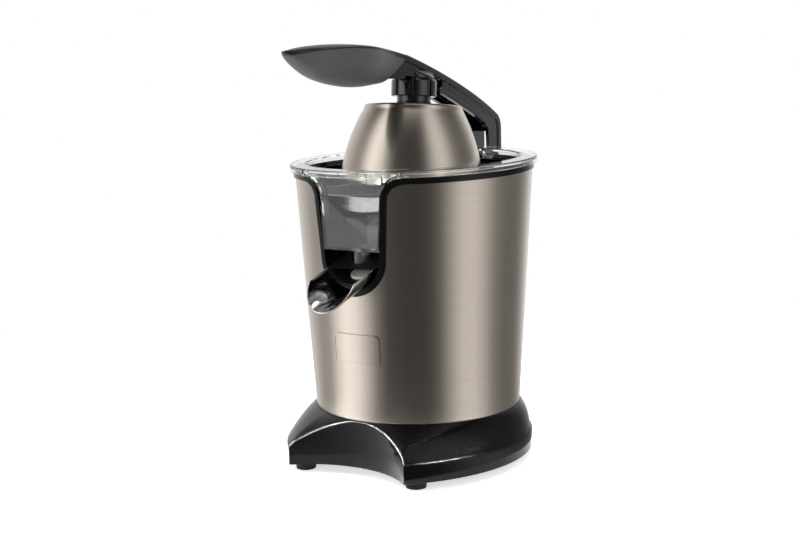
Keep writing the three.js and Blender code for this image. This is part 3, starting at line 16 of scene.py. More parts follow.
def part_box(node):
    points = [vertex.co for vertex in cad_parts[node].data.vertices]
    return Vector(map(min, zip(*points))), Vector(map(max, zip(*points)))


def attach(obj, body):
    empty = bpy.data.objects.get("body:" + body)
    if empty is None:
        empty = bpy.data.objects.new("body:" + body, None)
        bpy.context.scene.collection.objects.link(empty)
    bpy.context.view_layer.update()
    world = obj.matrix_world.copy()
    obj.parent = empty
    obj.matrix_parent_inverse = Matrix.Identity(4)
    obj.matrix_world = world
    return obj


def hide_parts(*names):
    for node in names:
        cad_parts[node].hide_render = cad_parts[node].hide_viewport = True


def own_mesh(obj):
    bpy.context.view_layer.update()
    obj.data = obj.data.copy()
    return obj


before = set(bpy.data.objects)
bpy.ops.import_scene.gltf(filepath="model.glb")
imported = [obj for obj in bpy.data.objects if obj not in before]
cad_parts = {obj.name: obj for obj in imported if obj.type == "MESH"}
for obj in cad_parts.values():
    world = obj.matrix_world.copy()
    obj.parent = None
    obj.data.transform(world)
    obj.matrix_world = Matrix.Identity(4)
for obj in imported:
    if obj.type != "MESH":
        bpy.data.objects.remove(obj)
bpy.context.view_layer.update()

bl_info = {
    "name": "Citrus press",
    "version": (1, 0, 0),
    "blender": (4, 5, 0),
    "location": "3D View > Sidebar > Citrus Press",
    "description": "Builds the pieces, finishes and stage of a lever-arm citrus press",
    "category": "Object",
}

MM = 0.001


def box_mm(node):
    low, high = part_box(node)
    return low / MM, high / MM


def middle(node):
    low, high = box_mm(node)
    return (low + high) / 2


AXIS_Y = middle("drive_shaft").y  # the body's axis stands this far behind the origin
FRAMES = {}  # named tilted frames, filled in once the sizes are known


# ------------------------------------------------------------------ sizes and colours
def length(name, millimetres, text):
    return FloatProperty(
        name=name, description=text, default=millimetres * MM, unit="LENGTH", subtype="DISTANCE"
    )


def turn(name, degrees, text):
    return FloatProperty(
        name=name, description=text, default=math.radians(degrees), unit="ROTATION", subtype="ANGLE"
    )


def linear(code):
    """Turns a sRGB hex code such as 'd8cfc6' to the linear colour that the nodes take."""
    values = [int(code[i:i + 2], 16) / 255 for i in (0, 2, 4)]
    return tuple(v / 12.92 if v <= 0.04045 else ((v + 0.055) / 1.055) ** 2.4 for v in values)


def colour(name, code, text):
    return FloatVectorProperty(
        name=name, description=text, default=linear(code), size=3, subtype="COLOR", min=0, max=1
    )


class CitrusPressBody(bpy.types.PropertyGroup):
    """Sizes of base, shell, housing and bowl."""

    seat: length("Seat height", 44, "Height at which the metal shell stands on the base")
    foot_radius: length("Shell foot radius", 85, "Outer radius of the shell at its seat")
    rim_height: length("Rim height", 237.5, "Height of the shell's top edge on the body axis")
    rim_radius: length("Shell rim radius", 97.3, "Outer radius of the shell at its top edge")
    rim_slope: turn("Rim slope", 2.2, "How much the rim falls towards the front")
    window_half: length("Window half width", 33.8, "Half the window's width near its top")
    window_low_half: length("Window low half width", 30.5, "Radius of the window's round bottom")
    window_bottom: length("Window bottom", 146, "Height of the window's lowest point")
    flare: length("Window flare", 12, "Radius of the corners that open out to the rim")
    trim: length("Window trim", 4.6, "Width of the black surround inside the window's edge")
    base_radius: length("Base radius", 95.5, "Radius of the base at the rear and sides")
    horn_x: length("Base horn half width", 55, "Half the width between the base's front corners")
    horn_y: length("Base horn reach", 107.5, "How far the front corners stand before the axis")
    hollow_radius: length("Front hollow radius", 84, "Radius of the hollow for the glass")
    hollow_y: length("Front hollow depth", 86.9, "Distance from the axis to the hollow")
    flange: length("Bowl flange radius", 101.4, "Outer radius of the clear bowl's flange")


class CitrusPressArm(bpy.types.PropertyGroup):
    """Sizes of dome, arm, grip and spout."""

    dome_top: length("Dome top radius", 40, "Radius of the dome's flat top")
    dome_rim: length("Dome rim radius", 58.8, "Radius of the dome's open rim")
    dome_height: length("Dome height", 65, "From the dome's flat top to its rim")
    dome_lean: turn("Dome lean", 5, "How far the dome leans back in the resting arm")
    arm_half: length("Arm half width", 11, "Half the width of the arm's proud band")
    wall_half: length("Arm wall half width", 9.8, "Half the width of the arm below its band")
    grip_half: length("Grip half width", 22, "Half the greatest width of the grip")
    spout_half: length("Spout half width", 21.3, "Half the width of the metal trough")
    spout_depth: length("Spout depth", 16.7, "Depth of the metal trough")
    ribs: IntProperty(
        name="Cone ribs", description="Ribs round the juicing cone", default=10, min=6
    )


class CitrusPressFinish(bpy.types.PropertyGroup):
    """Colours of the finishes."""

    champagne: colour("Champagne steel", "bfb5aa", "Tint of the brushed shell and dome")
    steel: colour("Polished steel", "dcdcdc", "Tint of the spout")
    black: colour("Gloss black", "0b0b0c", "Base, housing, arm and collar")
    grip: colour("Soft grip", "4b4b4c", "Soft-touch grip")
    floor: colour("Floor", "f7f7f7", "Floor of the stage")


class Sizes:
    """Reads a property group's lengths back in millimetres and its angles in degrees."""

    def __init__(self, group):
        self.group = group

    def __getattr__(self, name):
        value = getattr(self.group, name)
        kind = self.group.bl_rna.properties[name]
        if kind.type == "INT":
            return value
        return math.degrees(value) if kind.subtype == "ANGLE" else value / MM


def body_sizes():
    return Sizes(bpy.context.scene.citrus_press_body)


def arm_sizes():
    return Sizes(bpy.context.scene.citrus_press_arm)


# ------------------------------------------------------------------ mesh helpers
def place(point):
    """Takes a point about the body's axis to the scene."""
    return Vector((point[0], point[1] + AXIS_Y, point[2])) * MM


def tilt_frame(x_turn, y, z):
    """A frame that is turned about X and stands at (0, y, z) about the body's axis."""
    return Matrix.Translation((0, y, z)) @ Matrix.Rotation(math.radians(x_turn), 4, "X")


def mesh_object(name, points, faces, frame_name=None):
    """A mesh from points in a named frame, with its doubles merged and its faces outwards."""
    matrix = FRAMES.get(frame_name)
    if matrix:
        points = [matrix @ Vector(point) for point in points]
    mesh = bpy.data.meshes.new(name)
    mesh.from_pydata([place(point) for point in points], [], faces)
    work = bmesh.new()
    work.from_mesh(mesh)
    bmesh.ops.remove_doubles(work, verts=work.verts, dist=1e-7)
    bmesh.ops.recalc_face_normals(work, faces=work.faces)
    work.to_mesh(mesh)
    work.free()
    obj = bpy.data.objects.new(name, mesh)
    bpy.context.scene.collection.objects.link(obj)
    return obj


def rounded(corners, steps=5):
    """A closed outline from (x, y, radius) corners, each rounded to its own radius."""
    outline = []
    count = len(corners)
    for i, (x, y, radius) in enumerate(corners):
        here = Vector((x, y))
        if radius <= 0:
            outline.append((x, y))
            continue
        before = (Vector(corners[i - 1][:2]) - here).normalized()
        after = (Vector(corners[(i + 1) % count][:2]) - here).normalized()
        half = before.angle(after) / 2
        reach = radius / math.tan(half)
        centre = here + (before + after).normalized() * radius / math.sin(half)
        start, end = here + before * reach - centre, here + after * reach - centre
        sweep = start.angle_signed(end)
        for step in range(steps + 1):
            turned = start.copy()
            turned.rotate(Matrix.Rotation(-sweep * step / steps, 2))
            outline.append(tuple(centre + turned))
    return outline


def bezier(points, count):
    """Points along the Bezier curve of any number of control points."""
    made = []
    for i in range(count + 1):
        row = [Vector(p) for p in points]
        while len(row) > 1:
            row = [a.lerp(b, i / count) for a, b in zip(row, row[1:])]
        made.append(tuple(row[0]))
    return made


def circle(x, y, radius, sides):
    turns = [2 * math.pi * i / sides for i in range(sides)]
    return [(x + radius * math.cos(angle), y + radius * math.sin(angle)) for angle in turns]


def lathe(name, profile, segments=192, frame_name=None):
    """Turns a closed profile of (radius, height) points about the axis."""
    points, faces, rows = [], [], []
    for radius, height in profile:
        if radius <= 1e-6:
            rows.append([len(points)] * segments)
            points.append((0, 0, height))
            continue
        rows.append(list(range(len(points), len(points) + segments)))
        for i in range(segments):
            angle = 2 * math.pi * i / segments
            points.append((radius * math.sin(angle), -radius * math.cos(angle), height))
    for k, low in enumerate(rows):
        high = rows[(k + 1) % len(rows)]
        if low[0] == low[1] and high[0] == high[1]:
            continue
        for i in range(segments):
            j = (i + 1) % segments
            corners = [low[i], low[j], high[j], high[i]]
            faces.append([c for n, c in enumerate(corners) if c != corners[n - 1]])
    return mesh_object(name, points, faces, frame_name)


def side_faces(rings):
    """The four-sided faces between closed rings of equal count."""
    count = len(rings[0])
    faces = []
    for level in range(len(rings) - 1):
        for i in range(count):
            a, b = level * count + i, level * count + (i + 1) % count
            faces.append((a, b, b + count, a + count))
    return faces


def loft(name, rings, frame_name=None):
    """A skin through closed rings of equal count, with a flat face at either end."""
    points = [point for row in rings for point in row]
    count = len(rings[0])
    ends = [tuple(range(count)), tuple(range(len(points) - count, len(points)))]
    return mesh_object(name, points, side_faces(rings) + ends, frame_name)


def hoop(name, columns):
    """A closed wall through upright sections of equal count that stand right round the body."""
    count, rows = len(columns), len(columns[0])
    faces = []
    for i in range(count):
        j = (i + 1) % count
        for k in range(rows):
            m = (k + 1) % rows
            faces.append((i * rows + k, j * rows + k, j * rows + m, i * rows + m))
    return mesh_object(name, [point for column in columns for point in column], faces)


def prism(name, outline, plane, low, high, frame_name=None):
    """A flat outline given depth along the axis that its plane leaves out."""
    spread = {
        "XZ": lambda p, d: (p[0], d, p[1]),
        "YZ": lambda p, d: (d, p[0], p[1]),
        "XY": lambda p, d: (p[0], p[1], d),
    }[plane]
    rings = [[spread(point, depth) for point in outline] for depth in (low, high)]
    return loft(name, rings, frame_name)


def slab(name, x0, x1, y0, y1, z0, z1):
    return prism(name, [(x0, y0), (x1, y0), (x1, y1), (x0, y1)], "XY", z0, z1)


def post(name, radius, z0, z1, x=0, y=0, sides=64, frame_name=None):
    """An upright round or many-sided bar, with its first corner at the rear."""
    outline = [(x - across, y + ahead) for ahead, across in circle(0, 0, radius, sides)]
    return prism(name, outline, "XY", z0, z1, frame_name)


def bar_x(name, radius, x0, x1, y, z, sides=48, frame_name=None):
    return prism(name, circle(y, z, radius, sides), "YZ", x0, x1, frame_name)


def bar_y(name, radius, y0, y1, x, z, sides=48):
    return prism(name, circle(x, z, radius, sides), "XZ", y0, y1)


def bake(obj):
    """Replaces the object's mesh by what its modifiers make of it."""
    graph = bpy.context.evaluated_depsgraph_get()
    made = bpy.data.meshes.new_from_object(obj.evaluated_get(graph))
    obj.modifiers.clear()
    obj.data = made
    return obj


def shape(obj, operation, *tools):
    """Joins, cuts or keeps the common part of closed solids, and uses the tools up."""
    for tool in tools:
        change = obj.modifiers.new(operation, "BOOLEAN")
        change.operation = operation
        change.solver = "MANIFOLD"
        change.object = tool
        bake(obj)
        bpy.data.objects.remove(tool)
    return obj


def join(obj, *tools):
    return shape(obj, "UNION", *tools)


def cut(obj, *tools):
    return shape(obj, "DIFFERENCE", *tools)


def common(obj, *tools):
    return shape(obj, "INTERSECT", *tools)


def twin(obj, name):
    """A second object with its own copy of the mesh."""
    made = obj.copy()
    made.name = name
    made.data = obj.data.copy()
    bpy.context.scene.collection.objects.link(made)
    return made


def even_shading(obj):
    """Shades the flat faces flat, so that only the rounded edges catch the light."""
    weighted = obj.modifiers.new("even shading", "WEIGHTED_NORMAL")
    weighted.keep_sharp = True


def soften(obj, width, segments=2, angle=35):
    """Rounds the edges that turn by more than an angle, as a mould or a polish leaves them."""
    bevel = obj.modifiers.new("soft edges", "BEVEL")
    bevel.width = width * MM
    bevel.segments = segments
    bevel.limit_method = "ANGLE"
    bevel.angle_limit = math.radians(angle)
    bevel.harden_normals = False
    bevel.miter_outer = "MITER_ARC"
    even_shading(obj)
    for face in obj.data.polygons:
        face.use_smooth = True
    return bake(obj)


def wrap_uv(obj, frame_name=None, radius=90):
    """Lays a map round the axis, in metres, which the brushed finishes follow."""
    layer = obj.data.uv_layers.new(name="round")
    matrix = FRAMES.get(frame_name)
    back = matrix.inverted() if matrix else Matrix.Identity(4)
    for face in obj.data.polygons:
        spins = []
        for loop in face.loop_indices:
            point = obj.data.vertices[obj.data.loops[loop].vertex_index].co / MM
            local = back @ Vector((point.x, point.y - AXIS_Y, point.z))
            spin, reach = math.atan2(local.x, -local.y), math.hypot(local.x, local.y)
            spins.append((loop, spin, local.z + reach))
        wide = max(s[1] for s in spins) - min(s[1] for s in spins) > math.pi
        for loop, spin, along in spins:
            spin += 2 * math.pi if wide and spin < 0 else 0
            layer.data[loop].uv = (spin * radius * MM, along * MM)


def deliver(obj, body, material, nodes=(), crease=32):
    """Finishes a piece: its material, shading, the body it rides on and what it stands for."""
    obj.data.materials.clear()
    obj.data.materials.append(material)
    obj.data.polygons.foreach_set("use_smooth", [True] * len(obj.data.polygons))
    obj.data.polygons.foreach_set("material_index", [0] * len(obj.data.polygons))
    obj.data.set_sharp_from_angle(angle=math.radians(crease))
    even_shading(obj)
    bake(obj)
    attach(obj, body)
    if nodes:
        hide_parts(*nodes)


# ------------------------------------------------------------------ node helpers
def add_node(tree, kind, settings=(), **links):
    """Adds a node, sets its own settings, and fills or links its inputs by name or index."""
    made = tree.nodes.new(kind)
    for key, value in dict(settings).items():
        setattr(made, key, value)
    for key, value in links.items():
        numbered = key[0] == "i" and key[1:].isdigit()
        socket = made.inputs[int(key[1:]) if numbered else key.replace("_", " ")]
        if isinstance(value, bpy.types.NodeSocket):
            tree.links.new(value, socket)
        else:
            socket.default_value = value
    return made


def copies_tree(name, sizes, lay_out):
    """A Geometry Nodes tree that sets copies of the object's mesh on points.

    `sizes` names the tree's inputs for `lay_out`, which adds the nodes that make the points.
    """
    if name in bpy.data.node_groups:
        return bpy.data.node_groups[name]
    tree = bpy.data.node_groups.new(name, "GeometryNodeTree")
    for label, kind in {"Piece": "Geometry", **sizes, "Finish": "Material"}.items():
        tree.interface.new_socket(label, in_out="INPUT", socket_type="NodeSocket" + kind)
    tree.interface.new_socket("Pieces", in_out="OUTPUT", socket_type="NodeSocketGeometry")
    start = add_node(tree, "NodeGroupInput").outputs
    copies = add_node(tree, "GeometryNodeInstanceOnPoints", Instance=start["Piece"],
                      **lay_out(tree, start))
    real = add_node(tree, "GeometryNodeRealizeInstances", Geometry=copies.outputs[0])
    painted = add_node(tree, "GeometryNodeSetMaterial", Geometry=real.outputs[0],
                       Material=start["Finish"])
    add_node(tree, "NodeGroupOutput", Pieces=painted.outputs[0])
    return tree


def ring_of_copies():
    """Geometry Nodes tree: copies of the object's mesh turned evenly about the Z axis."""
    def lay_out(tree, start):
        points = add_node(tree, "GeometryNodePoints", Count=start["Count"])
        index = add_node(tree, "GeometryNodeInputIndex")
        stepped = add_node(tree, "ShaderNodeMath", {"operation": "MULTIPLY_ADD"},
                           i0=index.outputs[0], i1=start["Step"], i2=start["Start"])
        spin = add_node(tree, "ShaderNodeCombineXYZ", Z=stepped.outputs[0])
        return {"Points": points.outputs[0], "Rotation": spin.outputs[0]}

    sizes = {"Count": "Int", "Step": "Float", "Start": "Float"}
    return copies_tree("ring of copies", sizes, lay_out)


def corner_copies():
    """Geometry Nodes tree: a copy of the object's mesh at each point of a flat grid."""
    def lay_out(tree, start):
        grid = add_node(tree, "GeometryNodeMeshGrid", Size_X=start["Width"], Size_Y=start["Depth"],
                        Vertices_X=start["Columns"], Vertices_Y=start["Rows"])
        moved = add_node(tree, "GeometryNodeTransform", Geometry=grid.outputs[0],
                         Translation=start["Middle"])
        return {"Points": moved.outputs[0]}

    sizes = {"Width": "Float", "Depth": "Float", "Columns": "Int", "Rows": "Int",
             "Middle": "Vector"}
    return copies_tree("corner copies", sizes, lay_out)


def grow(obj, tree, **inputs):
    """Runs a Geometry Nodes tree on the object and keeps the plain mesh that comes out."""
    modifier = obj.modifiers.new(tree.name, "NODES")
    modifier.node_group = tree
    sockets = {item.name: item.identifier for item in tree.interface.items_tree
               if item.in_out == "INPUT"}
    for name, value in inputs.items():
        modifier[sockets[name]] = value
    return bake(obj)


def ring(obj, count, start=0.0):
    """Copies a cutter that was drawn about the world's Z axis evenly round that axis."""
    return grow(obj, ring_of_copies(), Count=count, Step=2 * math.pi / count, Start=start)


def about_axis(obj, back=False):
    """Moves a mesh from the body's axis to the world's Z axis, or back."""
    shift = AXIS_Y * MM * (1 if back else -1)
    obj.data.transform(Matrix.Translation((0, shift, 0)))
    return obj


def settle(obj, frame_name):
    """Turns a mesh that was drawn about the world's Z axis into a named frame of the press."""
    scaled = Matrix.Scale(MM, 4) @ FRAMES[frame_name] @ Matrix.Scale(1 / MM, 4)
    obj.data.transform(Matrix.Translation((0, AXIS_Y * MM, 0)) @ scaled)
    return obj


# ------------------------------------------------------------------ finishes
EVEN = (1, 1, 1)  # the stretch of a pattern that runs the same in every direction


def finish(name, fine, broad, rough, tints, depth, uv="", **settings):
    """A material with one Principled shader and the pattern that its surface shows.

    `fine` and `broad` are noises: a size in millimetres, a stretch and a detail. The fine one
    sets the gloss between the two `rough` values and a relief `depth` millimetres deep, and the
    broad one drifts between the two `tints`.
    """
    made = bpy.data.materials.new(name)
    made.use_nodes = True
    tree = made.node_tree
    tree.nodes.clear()
    if uv:
        where = add_node(tree, "ShaderNodeUVMap", {"uv_map": uv}).outputs["UV"]
    else:
        where = add_node(tree, "ShaderNodeTexCoord").outputs["Object"]
    noises = []
    for size, stretch, detail in (fine, broad):
        mapped = add_node(tree, "ShaderNodeMapping", Vector=where, Scale=stretch)
        noise = add_node(tree, "ShaderNodeTexNoise", Vector=mapped.outputs[0],
                         Scale=1 / (size * MM), Detail=detail, Roughness=0.6)
        noises.append(noise.outputs[0])
    # the noise's values lie mostly between 0.3 and 0.7
    gloss = add_node(tree, "ShaderNodeMapRange", i0=noises[0], i1=0.3, i2=0.7,
                     i3=rough[0], i4=rough[1])
    drift = add_node(tree, "ShaderNodeMapRange", i0=noises[1], i1=0.3, i2=0.7)
    first, second = ((*tint, 1) for tint in tints)
    colour_mix = add_node(tree, "ShaderNodeMix", {"data_type": "RGBA"}, i0=drift.outputs[0],
                          i6=first, i7=second)
    relief = add_node(tree, "ShaderNodeBump", Height=noises[0], Distance=depth * MM)
    shader = add_node(tree, "ShaderNodeBsdfPrincipled", Base_Color=colour_mix.outputs[2],
                      Roughness=gloss.outputs[0], Normal=relief.outputs[0], **settings)
    if uv:
        tangent = add_node(tree, "ShaderNodeTangent", {"direction_type": "UV_MAP", "uv_map": uv})
        tree.links.new(tangent.outputs[0], shader.inputs["Tangent"])
    add_node(tree, "ShaderNodeOutputMaterial", Surface=shader.outputs[0])
    return made


def shades(tint, low, high):
    """Two near tints made from one, which may be written as a web colour."""
    tint = linear(tint) if isinstance(tint, str) else tint
    return [tuple(min(1.0, part * factor) for part in tint) for factor in (low, high)]


def brushed_stainless(name, tint, rough):
    """Stainless sheet brushed round the axis: hair-fine level streaks, which draw each light
    out upright. The real lines, about 0.1 mm wide, are too fine to show, so they are drawn
    0.3 mm wide."""
    return finish(name, (0.3, (0.004, 1, 1), 3), (1.6, (0.008, 1, 1), 3), rough,
                  shades(tint, 0.975, 1.02), 0.0002, "round",
                  Metallic=1.0, Anisotropic=0.55, Anisotropic_Rotation=0.25)


def polished_stainless(name, tint):
    """Deep-drawn and mirror-polished sheet with faint wiping marks."""
    return finish(name, (1.2, (1, 0.08, 1), 4), (14, (1, 0.5, 1), 1), (0.05, 0.11),
                  shades(tint, 0.96, 1.02), 0.002, Metallic=1.0)


def moulded_gloss(name, tint, specular=0.5):
    """Polished-tool ABS: a deep gloss with the slightest orange peel."""
    return finish(name, (3.5, EVEN, 1), (22, EVEN, 3), (0.06, 0.11), shades(tint, 0.85, 1.2),
                  0.006, IOR=1.54, Specular_IOR_Level=specular)


def moulded_satin(name, tint, rough=(0.36, 0.5), grain=0.35, specular=0.5):
    """Spark-textured plastic: an even fine grain that breaks up the light. The real grain is
    about 0.1 mm wide, which is too fine to show, so it is drawn 0.3 to 0.5 mm wide."""
    return finish(name, (grain, EVEN, 2), (30, EVEN, 2), rough, shades(tint, 0.9, 1.1), 0.012,
                  IOR=1.5, Specular_IOR_Level=specular)


def plated_steel(name, tint, rough=(0.2, 0.38)):
    """Drawn or turned metal with a thin plating or skin, slightly cloudy."""
    return finish(name, (0.9, (1, 1, 0.4), 4), (2.5, EVEN, 4), rough, shades(tint, 0.85, 1.05),
                  0.004, Metallic=1.0)


def rubber_mix(name, tint, rough=(0.6, 0.8)):
    """Moulded rubber or silicone: matt, with a dusty, slightly uneven face."""
    return finish(name, (1.5, EVEN, 4), (8, EVEN, 4), rough, shades(tint, 0.9, 1.07), 0.02,
                  IOR=1.45)


FINISHES = {}


def make_finishes():
    colours = bpy.context.scene.citrus_press_finish
    FINISHES.update(
        shell=brushed_stainless("brushed champagne stainless", colours.champagne, (0.245, 0.27)),
        dome=brushed_stainless("brushed champagne dome", colours.champagne, (0.225, 0.25)),
        trough=polished_stainless("polished stainless trough", colours.steel),
        sieve=plated_steel("etched stainless sieve", "b9b9b9", (0.22, 0.36)),
        gloss=moulded_gloss("black gloss ABS", colours.black, 0.75),
        piano=moulded_gloss("deep black ABS", colours.black, 0.2),
        satin=moulded_satin("black satin ABS", "191a1b"),
        core=moulded_satin("matt black lever ABS", "0e0e0f", (0.5, 0.6), 0.5, 0.2),
        # rubbery lacquer over a moulding: dull, with a soft bloom towards the edges; its grain
        # of about 0.1 mm is drawn 0.3 mm wide, because it would not show
        grip=finish("soft-touch lacquer", (0.3, EVEN, 2), (18, (1, 0.6, 1), 3), (0.42, 0.52),
                    shades(colours.grip, 0.94, 1.06), 0.006,
                    IOR=1.5, Sheen_Weight=0.15, Sheen_Roughness=0.4),
        # the grip's upper band: its dark colour is painted shade, darker than the grey of the rest
        # of the grip
        band=moulded_satin("black satin grip band", "1c1c1d", (0.3, 0.36), 0.3, 0.4),
        # injection-moulded copolyester with faint flow marks
        clear=finish("clear copolyester", (9, (1, 1, 0.4), 2), (20, EVEN, 2), (0.01, 0.03),
                     shades("fafcfc", 0.985, 1.0), 0.001, IOR=1.5, Transmission_Weight=1.0),
        rubber=rubber_mix("black rubber", "161616"),
        silicone=rubber_mix("pale silicone", "e6ebe9", (0.35, 0.5)),
        zinc=plated_steel("zinc-plated steel", "a9aaad"),
        bronze=plated_steel("sintered bronze", "a9824e", (0.35, 0.5)),
        nylon=moulded_satin("natural nylon", "e9e4d6", (0.4, 0.5), 0.5),
        # a stack of plates under brown varnish: noise that changes only along the stack; plates
        # of 0.5 mm are too fine to show and are drawn 1.2 mm thick
        iron=finish("varnished motor iron", (1.2, (0.001, 0.001, 1), 1), (5, EVEN, 4),
                    (0.35, 0.55), shades("7a4630", 0.7, 1.2), 0.08, Metallic=0.6),
    )


# ------------------------------------------------------------------ forms shared by several pieces
SPOUT_PIN_Y, SPOUT_PIN_Z = -64, 158  # the middle of the axle that the spout tips on
NOZZLE_Y = -76  # the bowl's outlet
BLOCK_HALF, BLOCK_LOW, BLOCK_HIGH = 18, 213, 240.2  # the hinge block, and its pad on the housing


def shell_radius(z):
    s = body_sizes()
    flare = (s.rim_radius - s.foot_radius) / (s.rim_height - s.seat)
    return s.foot_radius + flare * (z - s.seat)


def rim_z(height, y):
    """The height of a point that stands `height` above the sloping rim."""
    s = body_sizes()
    return s.rim_height + height + math.tan(math.radians(s.rim_slope)) * y


def window_outline(inset, fineness=16):
    """The U-shaped window, open to the rim and flaring there, drawn in (x, z)."""
    s = body_sizes()
    low_half, flare = s.window_low_half - inset, s.flare + inset
    outer = s.window_half - inset + flare
    top, low = rim_z(0, -s.rim_radius) + inset, s.window_bottom + s.window_low_half
    side = [(-outer, top + 40), (-outer, top)]
    for i in range(fineness + 1):
        angle = math.pi / 2 - math.pi / 2 * i / fineness
        side.append((-outer + flare * math.cos(angle), top - flare + flare * math.sin(angle)))
    for i in range(2 * fineness + 1):
        angle = math.pi + math.pi / 2 * i / (2 * fineness)
        side.append((low_half * math.cos(angle), low + low_half * math.sin(angle)))
    return side + [(-x, z) for x, z in reversed(side[:-1])]


def window_prism(name, inset, y0, y1):
    return prism(name, window_outline(inset), "XZ", y0, y1)


def cone_block(name, offset, z0, z1):
    """A solid as wide as the shell and `offset` more, between two heights."""
    profile = [(0, z0), (shell_radius(z0) + offset, z0), (shell_radius(z1) + offset, z1), (0, z1)]
    return lathe(name, profile, 256)


# ------------------------------------------------------------------ base
FOOT_NODES = ["foot_front_left", "foot_front_right", "foot_rear_left", "foot_rear_right"]
BASE_SCREW_NODES = ["base_screw_1", "base_screw_2", "base_screw_3", "base_screw_4"]
LIP = 1.2  # the base's slope ends this far outside the shell's foot, and this far above its seat
EDGE_TOP = 22.5  # height of the base's outer edge


def base_edge(angle):
    """Distance of the base's outline from the axis; the angle is measured from the rear."""
    s = body_sizes()
    horn_angle = math.pi - math.atan2(s.horn_x, s.horn_y)
    horn = math.hypot(s.horn_x, s.horn_y)
    if angle > horn_angle:
        return s.horn_y / abs(math.cos(angle))
    swelling_from = math.radians(60)
    share = max(0.0, (angle - swelling_from) / (horn_angle - swelling_from))
    return s.base_radius + (horn - s.base_radius) * share ** 2.3


def hollow_edge(angle, wall):
    """Distance to the hollow for the glass and its wall along a direction, or None beside it."""
    s = body_sizes()
    centre, radius = -(s.hollow_y + s.hollow_radius), s.hollow_radius + wall
    along = centre * math.cos(angle)
    under = along * along - centre * centre + radius * radius
    return along - math.sqrt(under) if along > 0 and under > 0 else None


def slope_at(x, y):
    """Height of the base's upper face, which falls in one curve from the shell to the edge."""
    s = body_sizes()
    reach, edge = math.hypot(x, y), base_edge(math.atan2(abs(x), y))
    start, end = Vector((edge - 2, EDGE_TOP + 2.5)), Vector((s.foot_radius + LIP, s.seat + LIP))
    if reach >= start.x:
        return EDGE_TOP + max(0.0, edge - reach) * 1.25
    belly = Vector((0.48 * start.x + 0.52 * end.x + 1.4, 36.85))  # the middle of the curve
    control = 2 * belly - (start + end) / 2
    low, high = 0.0, 1.0
    for _ in range(24):
        t = (low + high) / 2
        there = (1 - t) ** 2 * start.x + 2 * t * (1 - t) * control.x + t * t * end.x
        low, high = (t, high) if there > reach else (low, t)
    return (1 - t) ** 2 * start.y + 2 * t * (1 - t) * control.y + t * t * end.y


def base_column(foot, heading, upright):
    """One upright section of the base, from a point of its outline in to the shell: wall,
    rounded edge, slope, lip and underside."""
    s = body_sizes()
    lip = s.foot_radius + LIP
    away = Vector((math.sin(heading), -math.cos(heading)))
    inward = away * lip - foot
    run = inward.length
    inward.normalize()

    def station(distance, height=None):
        spot = foot + inward * distance
        return (spot.x, spot.y, slope_at(*spot) if height is None else height)

    draft = 0.0 if upright else 1.0
    edge = min(2.4, run * 0.4)  # radius of the rounded edge
    wall = 4 + 6 * min(1, max(0, (foot.length - 90) / 15))  # thickest in the front corners
    top, under, mouth = slope_at(*foot), 7, 72
    column = [station(draft + 3, under + 3.6), station(draft + 3, under),
              station(draft + 0.8, under), station(draft + 0.2, under + 0.2),
              station(draft, under + 0.9)]
    column += bezier([station(draft * 0.06, top - edge), station(0, top), station(edge)], 8)
    column += [station(edge + (run - edge) * i / 14) for i in range(1, 15)]
    seat = [(lip - 0.3, s.seat + 1.35), (lip - 0.8, s.seat + 1.35), (lip - 0.9, s.seat),
            (s.foot_radius - 6, s.seat), (mouth, s.seat), (mouth, s.seat - 3)]
    column += [(away.x * reach, away.y * reach, height) for reach, height in seat]
    deep = station(draft + wall)
    column.append((deep[0], deep[1], min(30, deep[2] - 3)))
    return column + [station(draft + 0.4 * wall, under + 5)]


def make_base_housing():
    s = body_sizes()
    centre = -(s.hollow_y + s.hollow_radius)
    last = math.acos((-s.horn_y - centre) / s.hollow_radius)  # where the hollow meets the front
    corner = math.pi - math.atan2(s.horn_x, s.horn_y)
    # each point of the outline from the front round to the rear, its heading at the shell in
    # degrees, and whether the wall there is upright
    spots = []
    hollow_steps, outer_steps, hollow_heading, corner_heading = 72, 144, 55, 57
    for i in range(hollow_steps + 1):
        angle = last * i / hollow_steps
        x, y = s.hollow_radius * math.sin(angle), centre + s.hollow_radius * math.cos(angle)
        spots.append((Vector((x, y)), hollow_heading * i / hollow_steps, True))
    for share in (0.25, 0.5, 0.75):
        x = s.hollow_radius * math.sin(last) * (1 - share) + s.horn_x * share
        heading = hollow_heading + (corner_heading - hollow_heading) * share
        spots.append((Vector((x, -s.horn_y)), heading, True))
    for i in range(outer_steps + 1):
        angle = corner * (1 - i / outer_steps)
        reach = base_edge(angle)
        spot = Vector((reach * math.sin(angle), reach * math.cos(angle)))
        heading = corner_heading + (180 - corner_heading) * i / outer_steps
        spots.append((spot, heading, False))
    right = [base_column(spot, math.radians(heading), upright) for spot, heading, upright in spots]
    left = [[(-x, y, z) for x, y, z in column] for column in right[-2:0:-1]]
    base = hoop("base_shell", right + left)
    deliver(base, "housing", FINISHES["piano"], ["base_housing"], 28)


def base_plate_outline(inset):
    """The base's outline moved inwards, and clear of the wall of the hollow."""
    outline, steps = [], 240
    for i in range(steps):
        spin = 2 * math.pi * i / steps
        angle = min(spin, 2 * math.pi - spin)
        reach = base_edge(angle) - inset
        hollow = hollow_edge(angle, 2.9)
        reach = min(reach, hollow) if hollow else reach
        outline.append((reach * math.sin(spin), reach * math.cos(spin)))
    return outline


def slot_outline(x0, x1, half, corner, steps=5):
    """A slot along X, with its corners rounded."""
    return rounded([(x0, -half, corner), (x1, -half, corner), (x1, half, corner),
                    (x0, half, corner)], steps)


